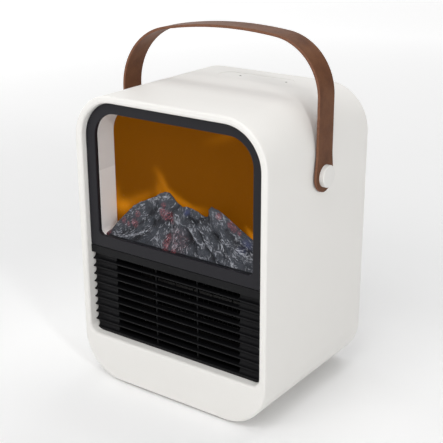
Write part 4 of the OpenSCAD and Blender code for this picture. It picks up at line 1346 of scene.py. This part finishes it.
def make_caps():
    """Round caps over the pivots, with a softly domed face."""
    radius = (cap_high.y - cap_low.y) / 2
    height = cap_high.x - cap_low.x
    bore = 6.3
    edge = 0.9
    dome = 0.25
    profile = [(bore, 0.0), (radius, 0.0), (radius, height - edge)]
    for c, s in quarter(6):
        profile.append((radius - edge + edge * c, height - edge - dome + edge * s))
    profile.append((radius * 0.6, height - 0.1))
    profile.append((0.01, height))
    for side, name in ((1, "right"), (-1, "left")):
        solid = lathe(profile, lambda a, b, h, s=side: (s * (cap_low.x + h), a, PIVOT_Z + b), 72)
        new_piece("cap_" + name, solid, "chassis", "cap_white", ["pivot_cap_" + name], angle=45)


make_strap()
make_caps()


# ---------- touch panel, feet and tip-over spring ----------

def make_panel():
    """Touch panel: a thin plate with a soft edge and two small lenses."""
    edge = 0.12
    flat_inset = edge + 0.5
    levels = [(0.0, PANEL_FLOOR + PANEL_PLAY)]
    levels += [(edge * (1 - c), panel_high.z - edge + edge * s) for c, s in quarter(4)]
    levels.append((flat_inset, panel_high.z))
    loops = []
    for inset, z in levels:
        outline = stadium_outline(PANEL_X, PANEL_Y, PANEL_L - 2 * inset, PANEL_W - 2 * inset)
        loops.append([(x, y, z) for x, y in outline])
    lens_low, lens_high = box_mm("indicator_lenses")
    lens_r = (lens_high.y - lens_low.y) / 2
    cutters = []
    for lens_x in (lens_low.x + lens_r, lens_high.x - lens_r):
        hole = circle_outline(lens_x, PANEL_Y, lens_r + PANEL_PLAY)
        cutters.append(prism(hole, "z", panel_low.z - 2, TOP + 2))
    new_piece("touch_panel", loft_solid(loops), "chassis", "panel_white", ["control_panel"], cutters)


def make_feet():
    """Rubber pads with a chamfered lower edge and a shallow dished sole."""
    height = foot_high.z - foot_low.z
    dish = 0.3
    sole = [(0.0, height), (0.0, 0.7), (0.3, 0.25), (0.8, 0.0), (2.4, 0.0), (2.8, dish)]
    profile = [(FOOT_R - inset, z) for inset, z in sole] + [(0.01, dish)]
    solids = []
    for x, y in foot_places():
        solids.append(lathe(profile, lambda a, b, h, x=x, y=y: (x + a, y + b, h), 48))
    new_piece("feet", joined(*solids), "chassis", "foot_rubber", ["rubber_feet"])


def make_spring():
    """Coil of the tip-over switch, in place of its CAD node."""
    low, high = box_mm("tip_spring")
    x = (low.x + high.x) / 2
    y = (low.y + high.y) / 2
    wire_r = 0.4
    coil_r = (high.x - low.x) / 2 - wire_r
    turns = 5
    steps = 28
    count = turns * steps
    rise = (high.z - low.z - 2 * wire_r) / count
    loops = []
    for i in range(count + 1):
        a = math.tau * i / steps
        loop = []
        for j in range(8):
            b = math.tau * j / 8
            r = coil_r + wire_r * math.cos(b)
            z = low.z + wire_r + rise * i + wire_r * math.sin(b)
            loop.append((x + r * math.cos(a), y + r * math.sin(a), z))
        loops.append(loop)
    coil = link("tip_coil", new_mesh("tip_coil", *loft_solid(loops)))
    shade(coil)
    paint(coil, "screw_steel")
    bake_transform(coil)
    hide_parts("tip_spring")


make_panel()
make_feet()
make_spring()
